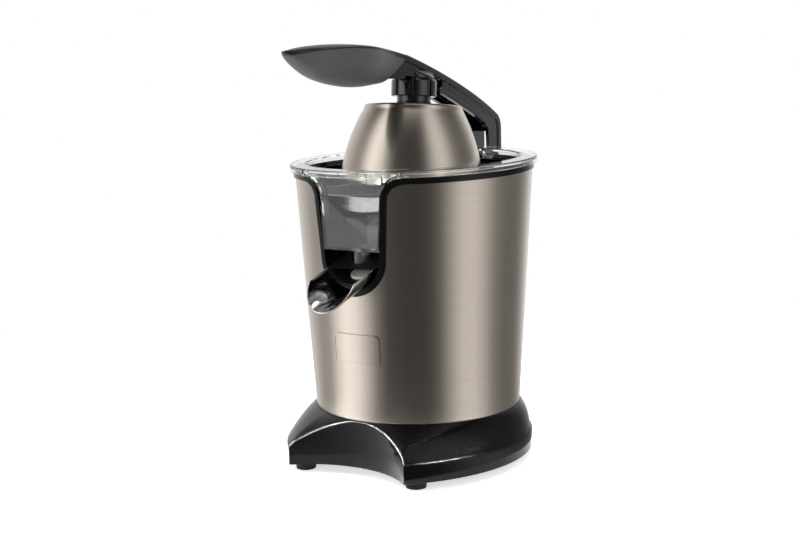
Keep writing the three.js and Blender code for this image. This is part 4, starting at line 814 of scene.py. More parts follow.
def make_base_plate():
    low, high = 8, 10.5
    plate = prism("base_cover", base_plate_outline(3.9), "XY", low, high)
    vent = about_axis(prism("vent", slot_outline(-26, 26, 2, 1.9), "XY", low - 1, high + 1.5))
    grow(vent, corner_copies(), Width=0.0, Depth=56 * MM, Columns=1, Rows=5, Middle=(0, 0, 0))
    cut(plate, about_axis(vent, back=True))
    for node in FOOT_NODES:
        x, y, _ = middle(node)
        cut(plate, post("hole", 3.3, low - 3, high + 1.5, x, y - AXIS_Y))
    for node in BASE_SCREW_NODES:
        x, y, _ = middle(node)
        cut(plate, post("sink", 3.8, low - 3, 9.2, x, y - AXIS_Y),
            post("hole", 1.9, low - 3, high + 1.5, x, y - AXIS_Y))
    deliver(plate, "housing", FINISHES["satin"], ["base_plate"])


def copy_to(piece, nodes, material):
    """Copies a piece that was drawn on the axis to four nodes at the corners of a rectangle."""
    spots = [middle(node) for node in nodes]
    xs, ys = [p.x for p in spots], [p.y for p in spots]
    grow(about_axis(piece), corner_copies(), Width=(max(xs) - min(xs)) * MM,
         Depth=(max(ys) - min(ys)) * MM, Columns=2, Rows=2,
         Middle=(0, (max(ys) + min(ys)) / 2 * MM, 0), Finish=material)
    return piece


def make_feet_and_screws():
    profile = [(0, 1), (2, 1), (3.2, 0.05), (4.4, 0.05), (4.6, 0), (7.2, 0), (7.9, 0.3),
               (8.2, 1.1), (8.2, 7.6), (7.9, 8), (3, 8), (3, 10.8), (4, 11.3), (2, 13.4), (0, 13.4)]
    feet = copy_to(lathe("rubber_feet", profile, 64), FOOT_NODES, FINISHES["rubber"])
    deliver(feet, "housing", FINISHES["rubber"], FOOT_NODES)
    screw = lathe("base_screws", screw_profile(3.4, 8.25, 9.3, 1.6, 23.8), 48)
    screws = copy_to(screw, BASE_SCREW_NODES, FINISHES["zinc"])
    deliver(screws, "housing", FINISHES["zinc"], BASE_SCREW_NODES)


def screw_profile(head, low, under, shank, tip):
    """A pan head with a round recess, and a ribbed shank for the thread."""
    profile = [(0, low + 0.75), (1.1, low + 0.75), (1.5, low + 0.02), (head - 0.6, low),
               (head, low + 0.5), (head, under), (shank, under)]
    z = under + 1
    while z < tip - 2:
        profile += [(shank, z), (shank - 0.35, z + 0.35)]
        z += 0.8
    return profile + [(shank - 0.3, tip - 1.5), (0, tip)]


def make_gland():
    low, high = box_mm("cord_gland")
    radius, hole = (high.x - low.x) / 2, 3.2
    profile = [(hole, 0), (radius - 0.4, 0), (radius, 0.4), (radius, 1.5), (radius - 1.5, 1.7),
               (radius - 1.5, 5), (radius - 0.2, 5.2), (radius, 5.6), (radius - 0.6, 7),
               (radius - 1.6, 7.5), (4, 7.6), (hole, 7.3)]
    spot = Matrix.Translation((0, low.y - AXIS_Y, (high.z + low.z) / 2))
    FRAMES["gland"] = spot @ Matrix.Rotation(-math.pi / 2, 4, "X")
    gland = lathe("cord_grommet", profile, 64, "gland")
    deliver(gland, "housing", FINISHES["rubber"], ["cord_gland"])


# ------------------------------------------------------------------ metal shell and badge
def shell_columns():
    """Angle and top height of each upright section of the shell's right half, from the window
    round to the back; None stands for the full height."""
    s = body_sizes()
    half = []
    for x, z in reversed(window_outline(0, 28)[2:]):
        if x >= 0 and z < rim_z(0, -s.rim_radius) - 0.01:
            half.append((math.asin(min(1, x / shell_radius(z))), z))
    half.sort()
    start = half[-1][0] + 0.004
    notch = math.pi - math.asin((BLOCK_HALF + 0.3) / shell_radius(225))
    steps, notch_steps = 110, 12
    for i in range(steps + 1):
        half.append((start + (notch - start) * i / steps, None))
    # the notch that the hinge block's pad stands in
    notch += 0.0005
    for i in range(notch_steps + 1):
        half.append((notch + (math.pi - notch) * i / notch_steps, BLOCK_LOW - 0.3))
    return half


def make_body_shell():
    s = body_sizes()
    slope = math.tan(math.radians(s.rim_slope))
    right = shell_columns()
    rows, wall, turned_in = 40, 0.8, 3.4
    foot, low = shell_radius(s.seat), s.seat + 0.5
    columns = []
    for angle, top in right + [(2 * math.pi - angle, top) for angle, top in reversed(right[1:-1])]:
        if top is None:
            top = s.rim_height - slope * math.cos(angle) * shell_radius(s.rim_height)
        stations = [(foot - turned_in, s.seat + wall), (foot - turned_in, s.seat),
                    (foot - 0.5, s.seat), (foot, low)]
        for k in range(1, rows + 1):
            z = low + (top - 0.15 - low) * k / rows
            stations.append((shell_radius(z), z))
        stations += [(shell_radius(top) - 0.15, top), (shell_radius(top) - wall + 0.1, top),
                     (shell_radius(top) - wall, top - 0.1)]
        for k in range(rows - 1, -1, -2):
            z = s.seat + wall + (top - 0.1 - s.seat - wall) * k / rows
            stations.append((shell_radius(z) - wall, z))
        columns.append([(r * math.sin(angle), -r * math.cos(angle), z) for r, z in stations])
    shell = hoop("body_sleeve", columns)
    wrap_uv(shell)
    deliver(shell, "housing", FINISHES["shell"], ["body_shell"], 30)


def make_badge():
    low, high = box_mm("badge_plate")
    half, z0, z1 = (high.x - low.x) / 2, low.z, high.z

    def panel(name, inset, corner, inner, outer):
        """A rounded rectangle between two distances from the shell's face."""
        x, bottom, top = half - inset, z0 + inset, z1 - inset
        outline = rounded([(-x, bottom, corner), (x, bottom, corner), (x, top, corner),
                           (-x, top, corner)], 8)
        piece = prism(name, outline, "XZ", -110, -60)
        outside = cone_block("outside", outer, z0 - 5, z1 + 5)
        return common(piece, cut(outside, cone_block("inside", inner, z0 - 9, z1 + 9)))

    badge = panel("badge", 0, 4, 0.15, 1.0)
    cut(badge, panel("field", 1.3, 2.9, 0.8, 3.0))
    soften(badge, 0.12, 2, 40)
    wrap_uv(badge)
    deliver(badge, "housing", FINISHES["dome"], ["badge_plate"], 30)


# ------------------------------------------------------------------ black upper housing
def above_rim(name, height):
    """Everything over a plane that follows the rim."""
    outline = [(-150, -150), (150, -150), (150, 150), (-150, 150)]
    return prism(name, outline, "XY", height, height + 150, "rim")


def make_upper_housing():
    """The ring on the rim, the tub that the bowl sits in, and the lining of the window."""
    s = body_sizes()
    # radii and heights about the rim: the tub inside, its underside, and the ring over the shell
    tub_foot, tub_side, tub_floor, under, ring_edge, skirt = 86.4, 90.4, -41.4, -44, 98.9, -12
    profile = rounded([
        (tub_side, 1.4, 0.5), (96.2, 1.4, 0.3), (96.8, 4.8, 0.3), (ring_edge, 4.7, 0.3),
        (ring_edge, 0.3, 0.3), (96, 0.3, 0), (95.2, skirt, 0), (93.2, skirt, 0),
        (92.6, skirt + 5, 0), (91.8, tub_floor + 4, 0), (88.4, under, 0)])
    profile += [(0, under), (0, tub_floor), (tub_foot, tub_floor), (tub_side, tub_floor + 4)]
    housing = lathe("upper_housing_shell", profile, 256, "rim")
    lining = common(window_prism("lining", 0.3, -120, -52.5),
                    cone_block("face", 1.2, s.window_bottom - 4, 250))
    cut(lining, above_rim("cap", 5))
    pad = slab("pad", -BLOCK_HALF, BLOCK_HALF, 88, 99, BLOCK_LOW, BLOCK_HIGH)
    join(housing, lining, pad)
    room = [(tub_foot, tub_floor), (tub_side, tub_floor + 4), (tub_side, 60), (0, 60),
            (0, tub_floor)]
    cut(housing, lathe("room", room, 256, "rim"))
    join(housing, post("tower", 11, 190, 219))
    cut(housing, window_prism("opening", s.trim, -120, -55), post("bore", 7.2, 150, 216.2),
        post("eye", 5.2, 150, 225), bar_x("pin hole", 2.3, -26, 26, SPOUT_PIN_Y, SPOUT_PIN_Z))
    soften(housing, 0.45, 3, 38)
    deliver(housing, "housing", FINISHES["piano"], ["upper_housing"], 34)


# ------------------------------------------------------------------ clear bowl
SIEVE_LOW = -28.1  # the sieve's underside about the rim


def make_bowl():
    """The clear bowl with its flange, the pocket behind the window, chimney and outlet."""
    s = body_sizes()
    side, base, wall, brim, flange_top = 89.7, -37.7, 2.2, 99.3, 10.5
    cup = rounded([(0, base, 0), (side - 4, base, 2), (side, base + 4.2, 2), (side, 8.1, 0.4),
                   (brim, 8.1, 0.3), (brim, 5.3, 0.3), (s.flange, 5.3, 0.3),
                   (s.flange, flange_top, 1.0), (0, flange_top, 0)])
    bowl = lathe("clear_bowl", cup, 256, "rim")
    inset, front, back, floor = s.trim + 0.5, -91.5, -60, 182

    def pocket_space(name, inwards, ceiling):
        """The pocket's block, each face moved inwards, between its floor and a ceiling."""
        space = window_prism(name, inset + inwards, front + inwards, back - inwards)
        return cut(space, slab("below", -70, 70, -130, -30, 90, floor + inwards),
                   above_rim("over", ceiling))

    join(bowl, pocket_space("pocket", 0, 9.5))
    inside = pocket_space("inside", wall, 8.1)
    inner, inner_base, over = side - wall, base + wall, flange_top + 3.5
    hollow = rounded([(0, inner_base, 0), (inner - 4, inner_base, 3), (inner, inner_base + 4, 3),
                      (inner, 9.6, 0), (88.6, 10.8, 0), (88.6, over, 0), (0, over, 0)])
    cut(bowl, lathe("hollow", hollow, 256, "rim"), inside)
    # the ledge that the sieve rests on stops at the pocket
    low, high = inner_base - 1, SIEVE_LOW - 0.3
    ledge = rounded([(72, low, 0), (74, low, 0), (74, high, 0.6), (72, high, 0.6)])
    ledge = cut(lathe("ledge", ledge, 256, "rim"),
                window_prism("gap", inset + wall, front, back - wall))
    bore = 11.9
    join(bowl, ledge, post("chimney", bore + 2, 200.9, 225.5, sides=96))
    cut(bowl, post("bore", bore, 150, 260, sides=96))
    join(bowl, post("nozzle", 8.3, 168.2, 183, 0, NOZZLE_Y, 96))
    cut(bowl, post("nozzle bore", 6.5, 160, 185, 0, NOZZLE_Y, 96))
    top = rim_z(8.6, -98)
    join(bowl, slab("catch", 18, 32, -94.8, -92.6, top - 8.5, top))
    soften(bowl, 0.35, 2, 40)
    deliver(bowl, "housing", FINISHES["clear"], ["juice_bowl"], 34)


def make_filter():
    """A pressed dish with two rings of slots, an upright edge and a short collar inside."""
    low, high, sheet, hole, side, flange = SIEVE_LOW, SIEVE_LOW + 12, 1.2, 15.1, 80, 83
    profile = rounded([
        (hole, low, 0.5), (side, low, 2.2), (side, high, 0.6), (flange, high, 0.3),
        (flange, high + sheet, 0.3), (side - sheet, high + sheet, 1.0),
        (side - sheet, low + sheet, 1.2), (hole + sheet, low + sheet, 0.6),
        (hole + sheet, low + 6, 0.3), (hole, low + 6, 0.3)], 4)
    sieve = lathe("pulp_sieve", profile, 256)
    for inner, outer, count in ((26, 44, 40), (50, 73, 72)):
        slot = prism("slot", slot_outline(inner, outer, 0.9, 0.85, 3), "XY", low - 2, low + 3)
        ring(about_axis(slot), count)
        cut(sieve, about_axis(slot, back=True))
    settle(about_axis(sieve), "rim")
    deliver(sieve, "housing", FINISHES["sieve"], ["pulp_filter"], 34)


def make_cone():
    """The fluted cone that the fruit is pressed on."""
    a = arm_sizes()
    base, height, radius, levels, around = 224, 41, 33, 44, a.ribs * 24
    rings = []
    for level in range(levels + 1):
        rise = (level / levels) ** 0.9
        flank = radius * math.sqrt(max(0.0, 1 - rise ** 1.7)) * (1 - 0.28 * rise)
        # the flutes are deepest a third of the way up
        depth = 0.2 * math.sin(math.pi * min(1.0, rise * 1.15 + 0.12))
        row = []
        for angle in (2 * math.pi * i / around for i in range(around)):
            ridge = 1 - abs(math.sin(angle * a.ribs / 2)) ** 0.8
            reach = max(0.7, flank * (1 - depth * (1 - ridge)))
            row.append((reach * math.cos(angle), reach * math.sin(angle),
                        base + 2 + rise * height))
        rings.append(row)
    cone = loft("juicing_cone", rings)
    skirt = rounded([(0, base, 0), (34, base, 0.6), (34, base + 2.4, 1.1), (0, base + 2.4, 0)])
    join(cone, lathe("skirt", skirt, 240))
    cut(cone, post("socket", 6.3, 200, 244.3, sides=6),
        post("well", 15.4, 200, base + 4.7, sides=96))
    deliver(cone, "spindle", FINISHES["gloss"], ["reamer"], 50)


# ------------------------------------------------------------------ dome and its fastening
CROWN = -8  # the dome's flat top stands this much under the origin of its frame


def dome_flank(offset, count=40):
    """The dome's bulging side, moved inwards by an offset."""
    a = arm_sizes()
    corner, bulge = 2.4, 3.6
    top = Vector((a.dome_top - offset, CROWN - corner))
    bottom = Vector((a.dome_rim - offset, CROWN - a.dome_height))
    out = Vector((a.dome_height, a.dome_rim - a.dome_top)).normalized() * 2 * bulge
    middle_of_side = Vector(((a.dome_top + a.dome_rim) / 2 - offset, CROWN - a.dome_height / 2))
    control = middle_of_side + out
    flank = []
    for i in range(count + 1):
        t = i / count
        flank.append(tuple((1 - t) ** 2 * top + 2 * t * (1 - t) * control + t * t * bottom))
    return flank


def dome_profile(offset, wall, drop):
    """The section of the dome or of its lining, with a hole for the bolt."""
    top, hole = CROWN - drop, 3.2
    outer = [p for p in dome_flank(offset) if p[1] < top - 2.6]
    inner = [p for p in reversed(dome_flank(offset + wall)) if p[1] < top - wall - 2.4]
    crown = rounded([(hole, top, 0), (outer[0][0] - 0.9, top, 2.6), (*outer[0], 0)], 7)[:-1]
    rim = outer[-1]
    under = rounded([(*inner[-1], 0), (inner[-1][0] - 0.9, top - wall, 2),
                     (hole, top - wall, 0)], 6)[1:]
    lip = [(rim[0] - 0.1, rim[1]), (rim[0] - wall * 0.5, rim[1] - 0.12),
           (rim[0] - wall + 0.15, rim[1])]
    return crown + outer[:-1] + lip + inner[1:] + under


def make_dome():
    dome = lathe("pressing_dome", dome_profile(0, 1.2, 0), 256, "dome")
    wrap_uv(dome, "dome", 55)
    deliver(dome, "arm", FINISHES["dome"], ["press_dome"], 40)
    liner = lathe("dome_lining", dome_profile(1.4, 1.6, 1.4), 192, "dome")
    deliver(liner, "arm", FINISHES["satin"], ["dome_liner"], 40)
    bolt_hole, socket, waist, side, foot, low, high = 2.4, 9, 11, 13.8, 14.6, -7.9, 8.4
    neck = lathe("dome_neck_ring", rounded([
        (bolt_hole, low, 0), (foot, low, 0.3), (foot, -6, 0.3), (side, -5.4, 0.3),
        (side, -0.6, 0.5), (waist, -0.6, 0), (waist, 4, 0), (side, 4, 0.3), (side, high, 0.3),
        (socket, high, 0), (socket, 0, 0), (bolt_hole, 0, 0)]), 128, "dome")
    deliver(neck, "arm", FINISHES["gloss"], ["dome_neck"], 40)
    head, shank, recess, under, seat = 4.5, 2, -12.9, -13.7, -11.3
    bolt = lathe("dome_bolt", [
        (0, recess), (1.4, recess), (1.8, under), (head - 0.6, under), (head, under + 0.6),
        (head, seat), (shank, seat), (shank, -1), (0, -1)], 64, "dome")
    deliver(bolt, "arm", FINISHES["zinc"], ["dome_screw"])


def make_collar():
    """The twist collar, with eight narrow finger grooves."""
    bore, room, side, low, high = 11.6, 14.3, 18.7, -1, 13.6
    collar = lathe("twist_collar", rounded([
        (bore, 0.3, 0.2), (room, 0.3, 0), (room, low, 0.2), (side - 0.6, low, 0.4),
        (side, low + 0.6, 0.4), (side, high - 2.2, 0.6), (side - 1.5, high - 0.2, 0.6),
        (bore, high, 0.2), (bore, 9, 0), (room, 9, 0), (room, 3.6, 0), (bore, 3.6, 0)]))
    bottom, past, half = side - 1.8, side + 3.3, 1.5
    groove = rounded([(bottom, -half, 0.9), (past, -half, 0), (past, half, 0),
                      (bottom, half, 0.9)], 6)
    groove = about_axis(prism("groove", groove, "XY", -5, 20))
    cut(about_axis(collar), ring(groove, 8, math.radians(31.5)))
    soften(collar, 0.4, 3, 40)
    settle(collar, "dome")
    deliver(collar, "collar", FINISHES["gloss"], ["collar_nut"], 34)


# ------------------------------------------------------------------ arm, grip and hinge
ARM_BACK = 128.7  # the back of the arm's leg
HINGE_Y, HINGE_Z, EYE = 118, 232, 10.7  # the hinge axle, and the radius of the arm's eye round it
ARM_BEND = [(120, 281), (ARM_BACK, 277), (ARM_BACK, 266)]  # from the top edge into the leg
ARM_UNDERSIDE = [(24, 307.4), (80, 287.5), (101.6, 277.1)]
SEAM_TOP, SEAM_LOW = (-23, 331.9), (-46, 313)  # the slanting joint between arm and grip


def arm_top(drop=0.0, count=36):
    """The arm's top edge in (y, z), or a line under it."""
    return bezier([(SEAM_TOP[0], SEAM_TOP[1] - drop), (25, 320 - drop),
                   (85 - drop / 3, 300 - drop), (120 - drop / 2, 281 - drop)], count)


def arm_side():
    side = [SEAM_LOW] + arm_top() + bezier(ARM_BEND, 12)[1:]
    for i in range(33):
        angle = -math.pi * i / 32
        side.append((HINGE_Y + EYE * math.cos(angle), HINGE_Z + EYE * math.sin(angle)))
    inner_leg = (HINGE_Y - EYE, HINGE_Z + 4)
    side += [inner_leg] + bezier([inner_leg, (109, 262), (105, 272)], 14)[1:]
    side += bezier([(105, 272), (103.8, 275), (101.6, 277.1)], 6)[1:]
    return side + bezier(ARM_UNDERSIDE[::-1], 24)[1:] + [(22, 313)]


def arm_band():
    """The proud band that follows the top edge and runs down the back of the leg."""
    front = ARM_BACK - 6
    band = [(-30.3, 325.9)] + arm_top() + bezier(ARM_BEND, 12)[1:]
    band += [(ARM_BACK, 244), (front, 244), (front, 266)]
    band += bezier([(front, 266), (front, 272.5), (117, 276)], 10)[1:]
    return band + list(reversed(arm_top(6)))[1:]


def arm_hollow():
    """The room inside the channel-shaped arm, open below and at the back of the leg."""
    roof = [p for p in arm_top(3.2) if p[0] > 26]
    hollow = [(26, 200), (26, roof[0][1] + 0.5)] + roof
    hollow += bezier([roof[-1], (125.5, 272), (125.5, 264)], 8)[1:]
    return hollow + [(125.5, 267), (134, 267), (134, 200)]


def arm_head():
    """Where the arm widens into the round boss over the collar."""
    a = arm_sizes()
    low, rise, radius = 13.9, 8.3, 16.5
    rings = []
    for step in range(15):
        t = step / 14
        ease = t * t * (3 - 2 * t)
        power = 2 + 2.2 * ease  # from a circle to a rounded square
        half_x = radius + (a.wall_half - 0.3 - radius) * ease ** 0.8
        half_y = radius + 6 * ease
        row = []
        for x, y in circle(0, 0, 1, 96):
            reach = (abs(x) ** power + abs(y) ** power) ** (-1 / power)
            row.append((half_x * x * reach, half_y * y * reach - 5 * ease, low + rise * t))
        rings.append(row)
    return settle(about_axis(loft("head", rings)), "dome")


def bead(name, path, width, half):
    """A strip of one width along one side of a path, with its edges rounded."""
    strip, other_side = list(path), []
    for i, (y, z) in enumerate(path):
        ahead, behind = Vector(path[min(i + 1, len(path) - 1)]), Vector(path[max(i - 1, 0)])
        along = (ahead - behind).normalized()
        other_side.append((y - along.y * width, z + along.x * width))
    return soften(prism(name, strip + other_side[::-1], "YZ", -half, half), 0.7, 3, 40)


def make_arm():
    a = arm_sizes()
    arm = prism("lever_arm", arm_side(), "YZ", -a.wall_half, a.wall_half)
    soften(arm, 0.5, 2, 40)
    band = soften(prism("band", arm_band(), "YZ", -a.arm_half, a.arm_half), 1.3, 4, 40)
    low_edge = bezier(ARM_UNDERSIDE, 24) + [(103.8, 274.4), (105.4, 270.6)]
    rail = bead("rail", [(y - 0.2, z - 0.5) for y, z in low_edge], -4.4, a.arm_half + 0.1)
    join(arm, band, rail, arm_head())
    cut(arm, prism("hollow", arm_hollow(), "YZ", -6.8, 6.8),
        post("under", 30, -20, 13.9, frame_name="dome"))
    join(arm, post("stub", 10.8, 9, 17, frame_name="dome"),
         slab("tongue", -7, 7, -92, -23, 317, 326))
    cut(arm, bar_x("pin hole", 3.3, -30, 30, HINGE_Y, HINGE_Z),
        post("screw well", 6, 0, 15.6, frame_name="dome"))
    deliver(arm, "arm", FINISHES["gloss"], ["arm_shell"], 36)


GRIP_END = -14  # the grip's paths run this far in, past the seam
GRIP_TOP = [(-167.3, 334.2), (-120, 343), (-62, 341.5), (GRIP_END, 330.4)]
GRIP_LOW = [(-167.3, 333.2), (-149, 322.4), (-125, 312.8), (-88, 307.4), (-50, 309.6),
            (GRIP_END, 313.4)]


def height_along(points, y):
    for (y0, z0), (y1, z1) in zip(points, points[1:]):
        if y1 >= y:
            return z0 + (z1 - z0) * (y - y0) / (y1 - y0)
    return points[-1][1]


def smooth_path(points, per=12):
    """A Catmull-Rom path through the points."""
    made = []
    ends = [points[0]] + list(points) + [points[-1]]
    for i in range(1, len(ends) - 2):
        p0, p1, p2, p3 = (Vector(p) for p in ends[i - 1:i + 3])
        for t in (k / per for k in range(per)):
            quadratic = (2 * p0 - 5 * p1 + 4 * p2 - p3) * t * t
            cubic = (3 * p1 - p0 - 3 * p2 + p3) * t ** 3
            made.append(tuple(0.5 * (2 * p1 + (p2 - p0) * t + quadratic + cubic)))
    return made + [tuple(points[-1])]


def grip_section(y, half, top, low):
    """One upright section of the grip: its belly, then its crown inside a thin raised edge."""
    rim = top - min(2.2, (top - low) * 0.25)
    row = []
    for angle in (math.pi * i / 32 for i in range(33)):
        flat = math.copysign(abs(math.cos(angle)) ** 0.8, math.cos(angle))
        row.append((half * flat, y, rim - (rim - low) * math.sin(angle) ** 0.85))
    lip, soft = min(0.55, half * 0.2), 0.5
    for share in (i / 28 for i in range(1, 28)):
        edge = min(share, 1 - share) * 2 * half
        rise = (top - rim) * math.sin(math.pi * share) ** 0.7
        groove = -0.35 * math.exp(-((edge - 1.6) / soft) ** 2) if half > 4 else 0
        ridge = lip * math.exp(-((edge - 0.6) / soft) ** 2)
        row.append((half * (2 * share - 1), y, rim + rise + groove + ridge))
    return row


def make_grip():
    """A leaf-shaped paddle: a thin raised edge all round, a low crown and a full belly."""
    a = arm_sizes()
    tip, sections = GRIP_TOP[0][0], 72
    top_path, low_path = bezier(GRIP_TOP, 80), smooth_path(GRIP_LOW)
    rings = []
    for step in range(sections + 1):
        y = tip + (GRIP_END - tip) * (step / sections) ** 1.4  # closest together at the tip
        along = (y - tip) / (GRIP_END + 1 - tip)
        swell = math.sin(math.pi * min(1, along * 0.9 + 0.004) ** 0.72)
        tail = min(1, max(0, (along - 0.55) / 0.45))
        tail = tail * tail * (3 - 2 * tail)
        half = a.grip_half * swell * (1 - tail) + (a.wall_half + 3.2) * tail
        rings.append(grip_section(y, half, height_along(top_path, y), height_along(low_path, y)))
    grip = loft("lever_grip", rings)
    gap, past = 0.4, 20
    lean = (SEAM_TOP[0] - SEAM_LOW[0]) / (SEAM_TOP[1] - SEAM_LOW[1])
    seam = [(SEAM_LOW[0] - gap - past * lean, SEAM_LOW[1] - past),
            (SEAM_TOP[0] - gap + past * lean, SEAM_TOP[1] + past),
            (60, SEAM_TOP[1] + past), (60, SEAM_LOW[1] - past)]
    cut(grip, prism("seam", seam, "YZ", -50, 50),
        slab("socket", -7.3, 7.3, -92.3, 10, 316.7, 326.3))
    # the band along the upper edge is a piece of its own, in a darker colour that paints the shade
    # falling on its upward face
    edge = [(y, z - 3.4 - 2.2 * max(0, min(1, (y + 110) / 90))) for y, z in top_path]
    above = [(-180, 330.2)] + edge[2:] + [(10, 300), (10, 360), (-180, 360)]
    above = prism("above", above, "YZ", -50, 50)
    rim = common(twin(grip, "grip_band"), twin(above, "band_space"))
    cut(grip, above)
    # the band gets the dark colour that stands for painted shade
    deliver(rim, "arm", FINISHES["band"], (), 40)
    deliver(grip, "arm", FINISHES["grip"], ["grip"], 40)


def make_hinge():
    screw_x, screw_z, face = 11, 221, 102.5
    block = slab("hinge_block", -BLOCK_HALF, BLOCK_HALF, 99, 105, BLOCK_LOW, BLOCK_HIGH)
    soften(block, 1.2, 3, 40)
    arm = slab("reach", -6.5, 6.5, 104, HINGE_Y, HINGE_Z - 8.5, HINGE_Z + 7)
    join(block, arm, bar_x("knuckle", 8.5, -6.5, 6.5, HINGE_Y, HINGE_Z, 96))
    cut(block, bar_x("bore", 3.3, -20, 20, HINGE_Y, HINGE_Z))
    for side in (-1, 1):
        cut(block, bar_y("hole", 1.9, 90, 120, side * screw_x, screw_z),
            bar_y("sink", 3.9, face, 120, side * screw_x, screw_z))
    soften(block, 0.4, 2, 50)
    deliver(block, "housing", FINISHES["gloss"], ["hinge_bracket"], 36)

    spot = Matrix.Translation((0, HINGE_Y, HINGE_Z))
    FRAMES["hinge"] = spot @ Matrix.Rotation(math.pi / 2, 4, "Y")
    end, head, shank, under = 11.8, 5, 3, 10.1
    profile = rounded([(0, -end, 0), (head, -end, 0.6), (head, -under, 0.2), (shank, -under, 0),
                       (shank, under, 0), (head, under, 0.2), (head, end, 0.6), (0, end, 0)])
    axle = lathe("hinge_axle", profile, 64, "hinge")
    deliver(axle, "housing", FINISHES["zinc"], ["hinge_pin"])
    for side, node in ((-1, "bracket_screw_left"), (1, "bracket_screw_right")):
        spot = Matrix.Translation((side * screw_x, face, screw_z))
        FRAMES[node] = spot @ Matrix.Rotation(math.pi / 2, 4, "X")
        screw = lathe(node + "_head", screw_profile(3.5, -2, 0, 1.6, 9.8), 48, node)
        deliver(screw, "housing", FINISHES["zinc"], [node])


# ------------------------------------------------------------------ spout
def half_ellipse(half, depth, count=48):
    turns = [math.pi * i / count for i in range(count + 1)]
    return [(half * math.cos(math.pi + t), depth * math.sin(math.pi + t)) for t in turns]


def half_pipe(name, half, depth, s0, s1):
    return prism(name, half_ellipse(half, depth), "XZ", -s1, -s0, "spout")


def make_trough():
    """The metal trough, whose lip reaches furthest in the middle."""
    a = arm_sizes()
    wall, rows, count, start = 1.0, 22, 48, 8
    outer = half_ellipse(a.spout_half, a.spout_depth)
    inner = half_ellipse(a.spout_half - wall, a.spout_depth - wall)
    ends = [39.7 + 20.5 * math.sin(math.pi * i / count) for i in range(count + 1)]
    rings = []
    for k in range(rows + 1):
        ahead = [-(start + (end - start) * k / rows) for end in ends]
        section = [(x, y, z) for (x, z), y in zip(outer, ahead)]
        section += [(x, y, z - 0.02) for (x, z), y in zip(inner[::-1], ahead[::-1])]
        rings.append(section)
    per = len(rings[0])
    faces = side_faces(rings)
    for level in (0, rows):
        for i in range(count):
            first, last = level * per + i, level * per + per - 1 - i
            faces.append((first, first + 1, last - 1, last))
    points = [point for section in rings for point in section]
    trough = mesh_object("spout_channel", points, faces, "spout")
    soften(trough, 0.3, 3, 50)
    deliver(trough, "spout", FINISHES["trough"], ["spout_trough"], 38)


def make_carrier():
    """The cradle that carries the trough and tips on the axle, with the drip stop on it."""
    a = arm_sizes()
    half, depth = a.spout_half - 0.2, a.spout_depth - 0.2
    slim, wall = 1.3, 1.6
    carrier = half_pipe("spout_cradle", half, depth, -16, 7.7)
    join(carrier, half_pipe("spigot", a.spout_half - slim, a.spout_depth - slim, 0, 14))
    cut(carrier, half_pipe("bore", a.spout_half - slim - wall, a.spout_depth - slim - wall,
                           -14.4, 15))
    platform = post("platform", 11, -14, -2.1, frame_name="pad")
    join(carrier, common(platform, half_pipe("inside", half - 1, depth - 1, -16, 22)))
    pivot = FRAMES["spout"].inverted() @ Vector((0, SPOUT_PIN_Y, SPOUT_PIN_Z))
    join(carrier, bar_x("barrel", 4, -11.5, 11.5, pivot.y, pivot.z, 64, "spout"))
    cut(carrier, bar_x("pin bore", 2.3, -30, 30, pivot.y, pivot.z, 48, "spout"))
    soften(carrier, 0.3, 2, 45)
    deliver(carrier, "spout", FINISHES["satin"], ["spout_carrier"], 36)
    profile = rounded([(0, -2, 0), (9.7, -2, 0.3), (10, -0.8, 0.3), (9.6, 0, 0.5), (7, 0, 0.2),
                       (6.6, -0.25, 0), (6, -0.25, 0), (5.6, 0, 0.2), (0, 0, 0)])
    pad = lathe("drip_stop", profile, 96, "pad")
    deliver(pad, "spout", FINISHES["silicone"], ["drip_pad"], 40)
    spot = Matrix.Translation((0, SPOUT_PIN_Y, SPOUT_PIN_Z))
    FRAMES["pin"] = spot @ Matrix.Rotation(math.pi / 2, 4, "Y")
    end, radius = 21, 2
    profile = [(0, -end), (radius - 0.3, -end), (radius, 0.4 - end), (radius, end - 0.4),
               (radius - 0.3, end), (0, end)]
    pin = lathe("spout_axle", profile, 48, "pin")
    deliver(pin, "housing", FINISHES["zinc"], ["spout_pin"])


# ------------------------------------------------------------------ spindle and inner pieces
# which finish each inner node gets; its shape stays as the frame has it
INNER = {
    "zinc": ["lay_pin", "motor_frame_top", "motor_frame_bottom"],
    "satin": ["gearbox_plate", "gearbox_cover", "micro_switch", "motor_fan"],
    "core": ["lever_core"],
    "bronze": ["lower_bush", "upper_bush", "motor_pinion"],
    "nylon": ["output_gear", "lay_gear", "thrust_cup", "switch_plunger"],
    "iron": ["motor_stator", "motor_rotor"],
    "rubber": ["shaft_seal"],
}


def make_spindle():
    """The shaft that turns the cone, and the coil spring that lifts it again after a press."""
    shaft = post("drive_spindle", 4, 132, 169, sides=6)
    join(shaft, post("round", 4.05, 168.5, 230.5), post("flange", 6.5, 186.1, 188.6, sides=96),
         post("head", 6, 229.9, 244, sides=6))
    deliver(shaft, "spindle", FINISHES["zinc"], ["drive_shaft"], 36)

    turns, wire, radius, low, high, stroke = 4.5, 0.8, 9, 169.9, 182.1, 2.5
    sections, round_wire = 216, [math.pi * k / 8 for k in range(16)]
    rings = []
    for t in (i / sections for i in range(sections + 1)):
        angle = 2 * math.pi * turns * t
        # the first and the last coil lie nearly flat
        z = low + (high - low) * (t - 0.1 * math.sin(2 * math.pi * t))
        reaches = [(radius + wire * math.cos(spin), z + wire * math.sin(spin))
                   for spin in round_wire]
        rings.append([(r * math.cos(angle), r * math.sin(angle), level) for r, level in reaches])
    spring = loft("press_spring", rings)
    deliver(spring, "housing", FINISHES["zinc"], ["return_spring"], 40)
    tuple(place((0, 0, low - wire)))
    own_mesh(spring)


def finish_inner_nodes():
    for key, nodes in INNER.items():
        for node in nodes:
            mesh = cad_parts[node].data
            mesh.materials.clear()
            mesh.materials.append(FINISHES[key])


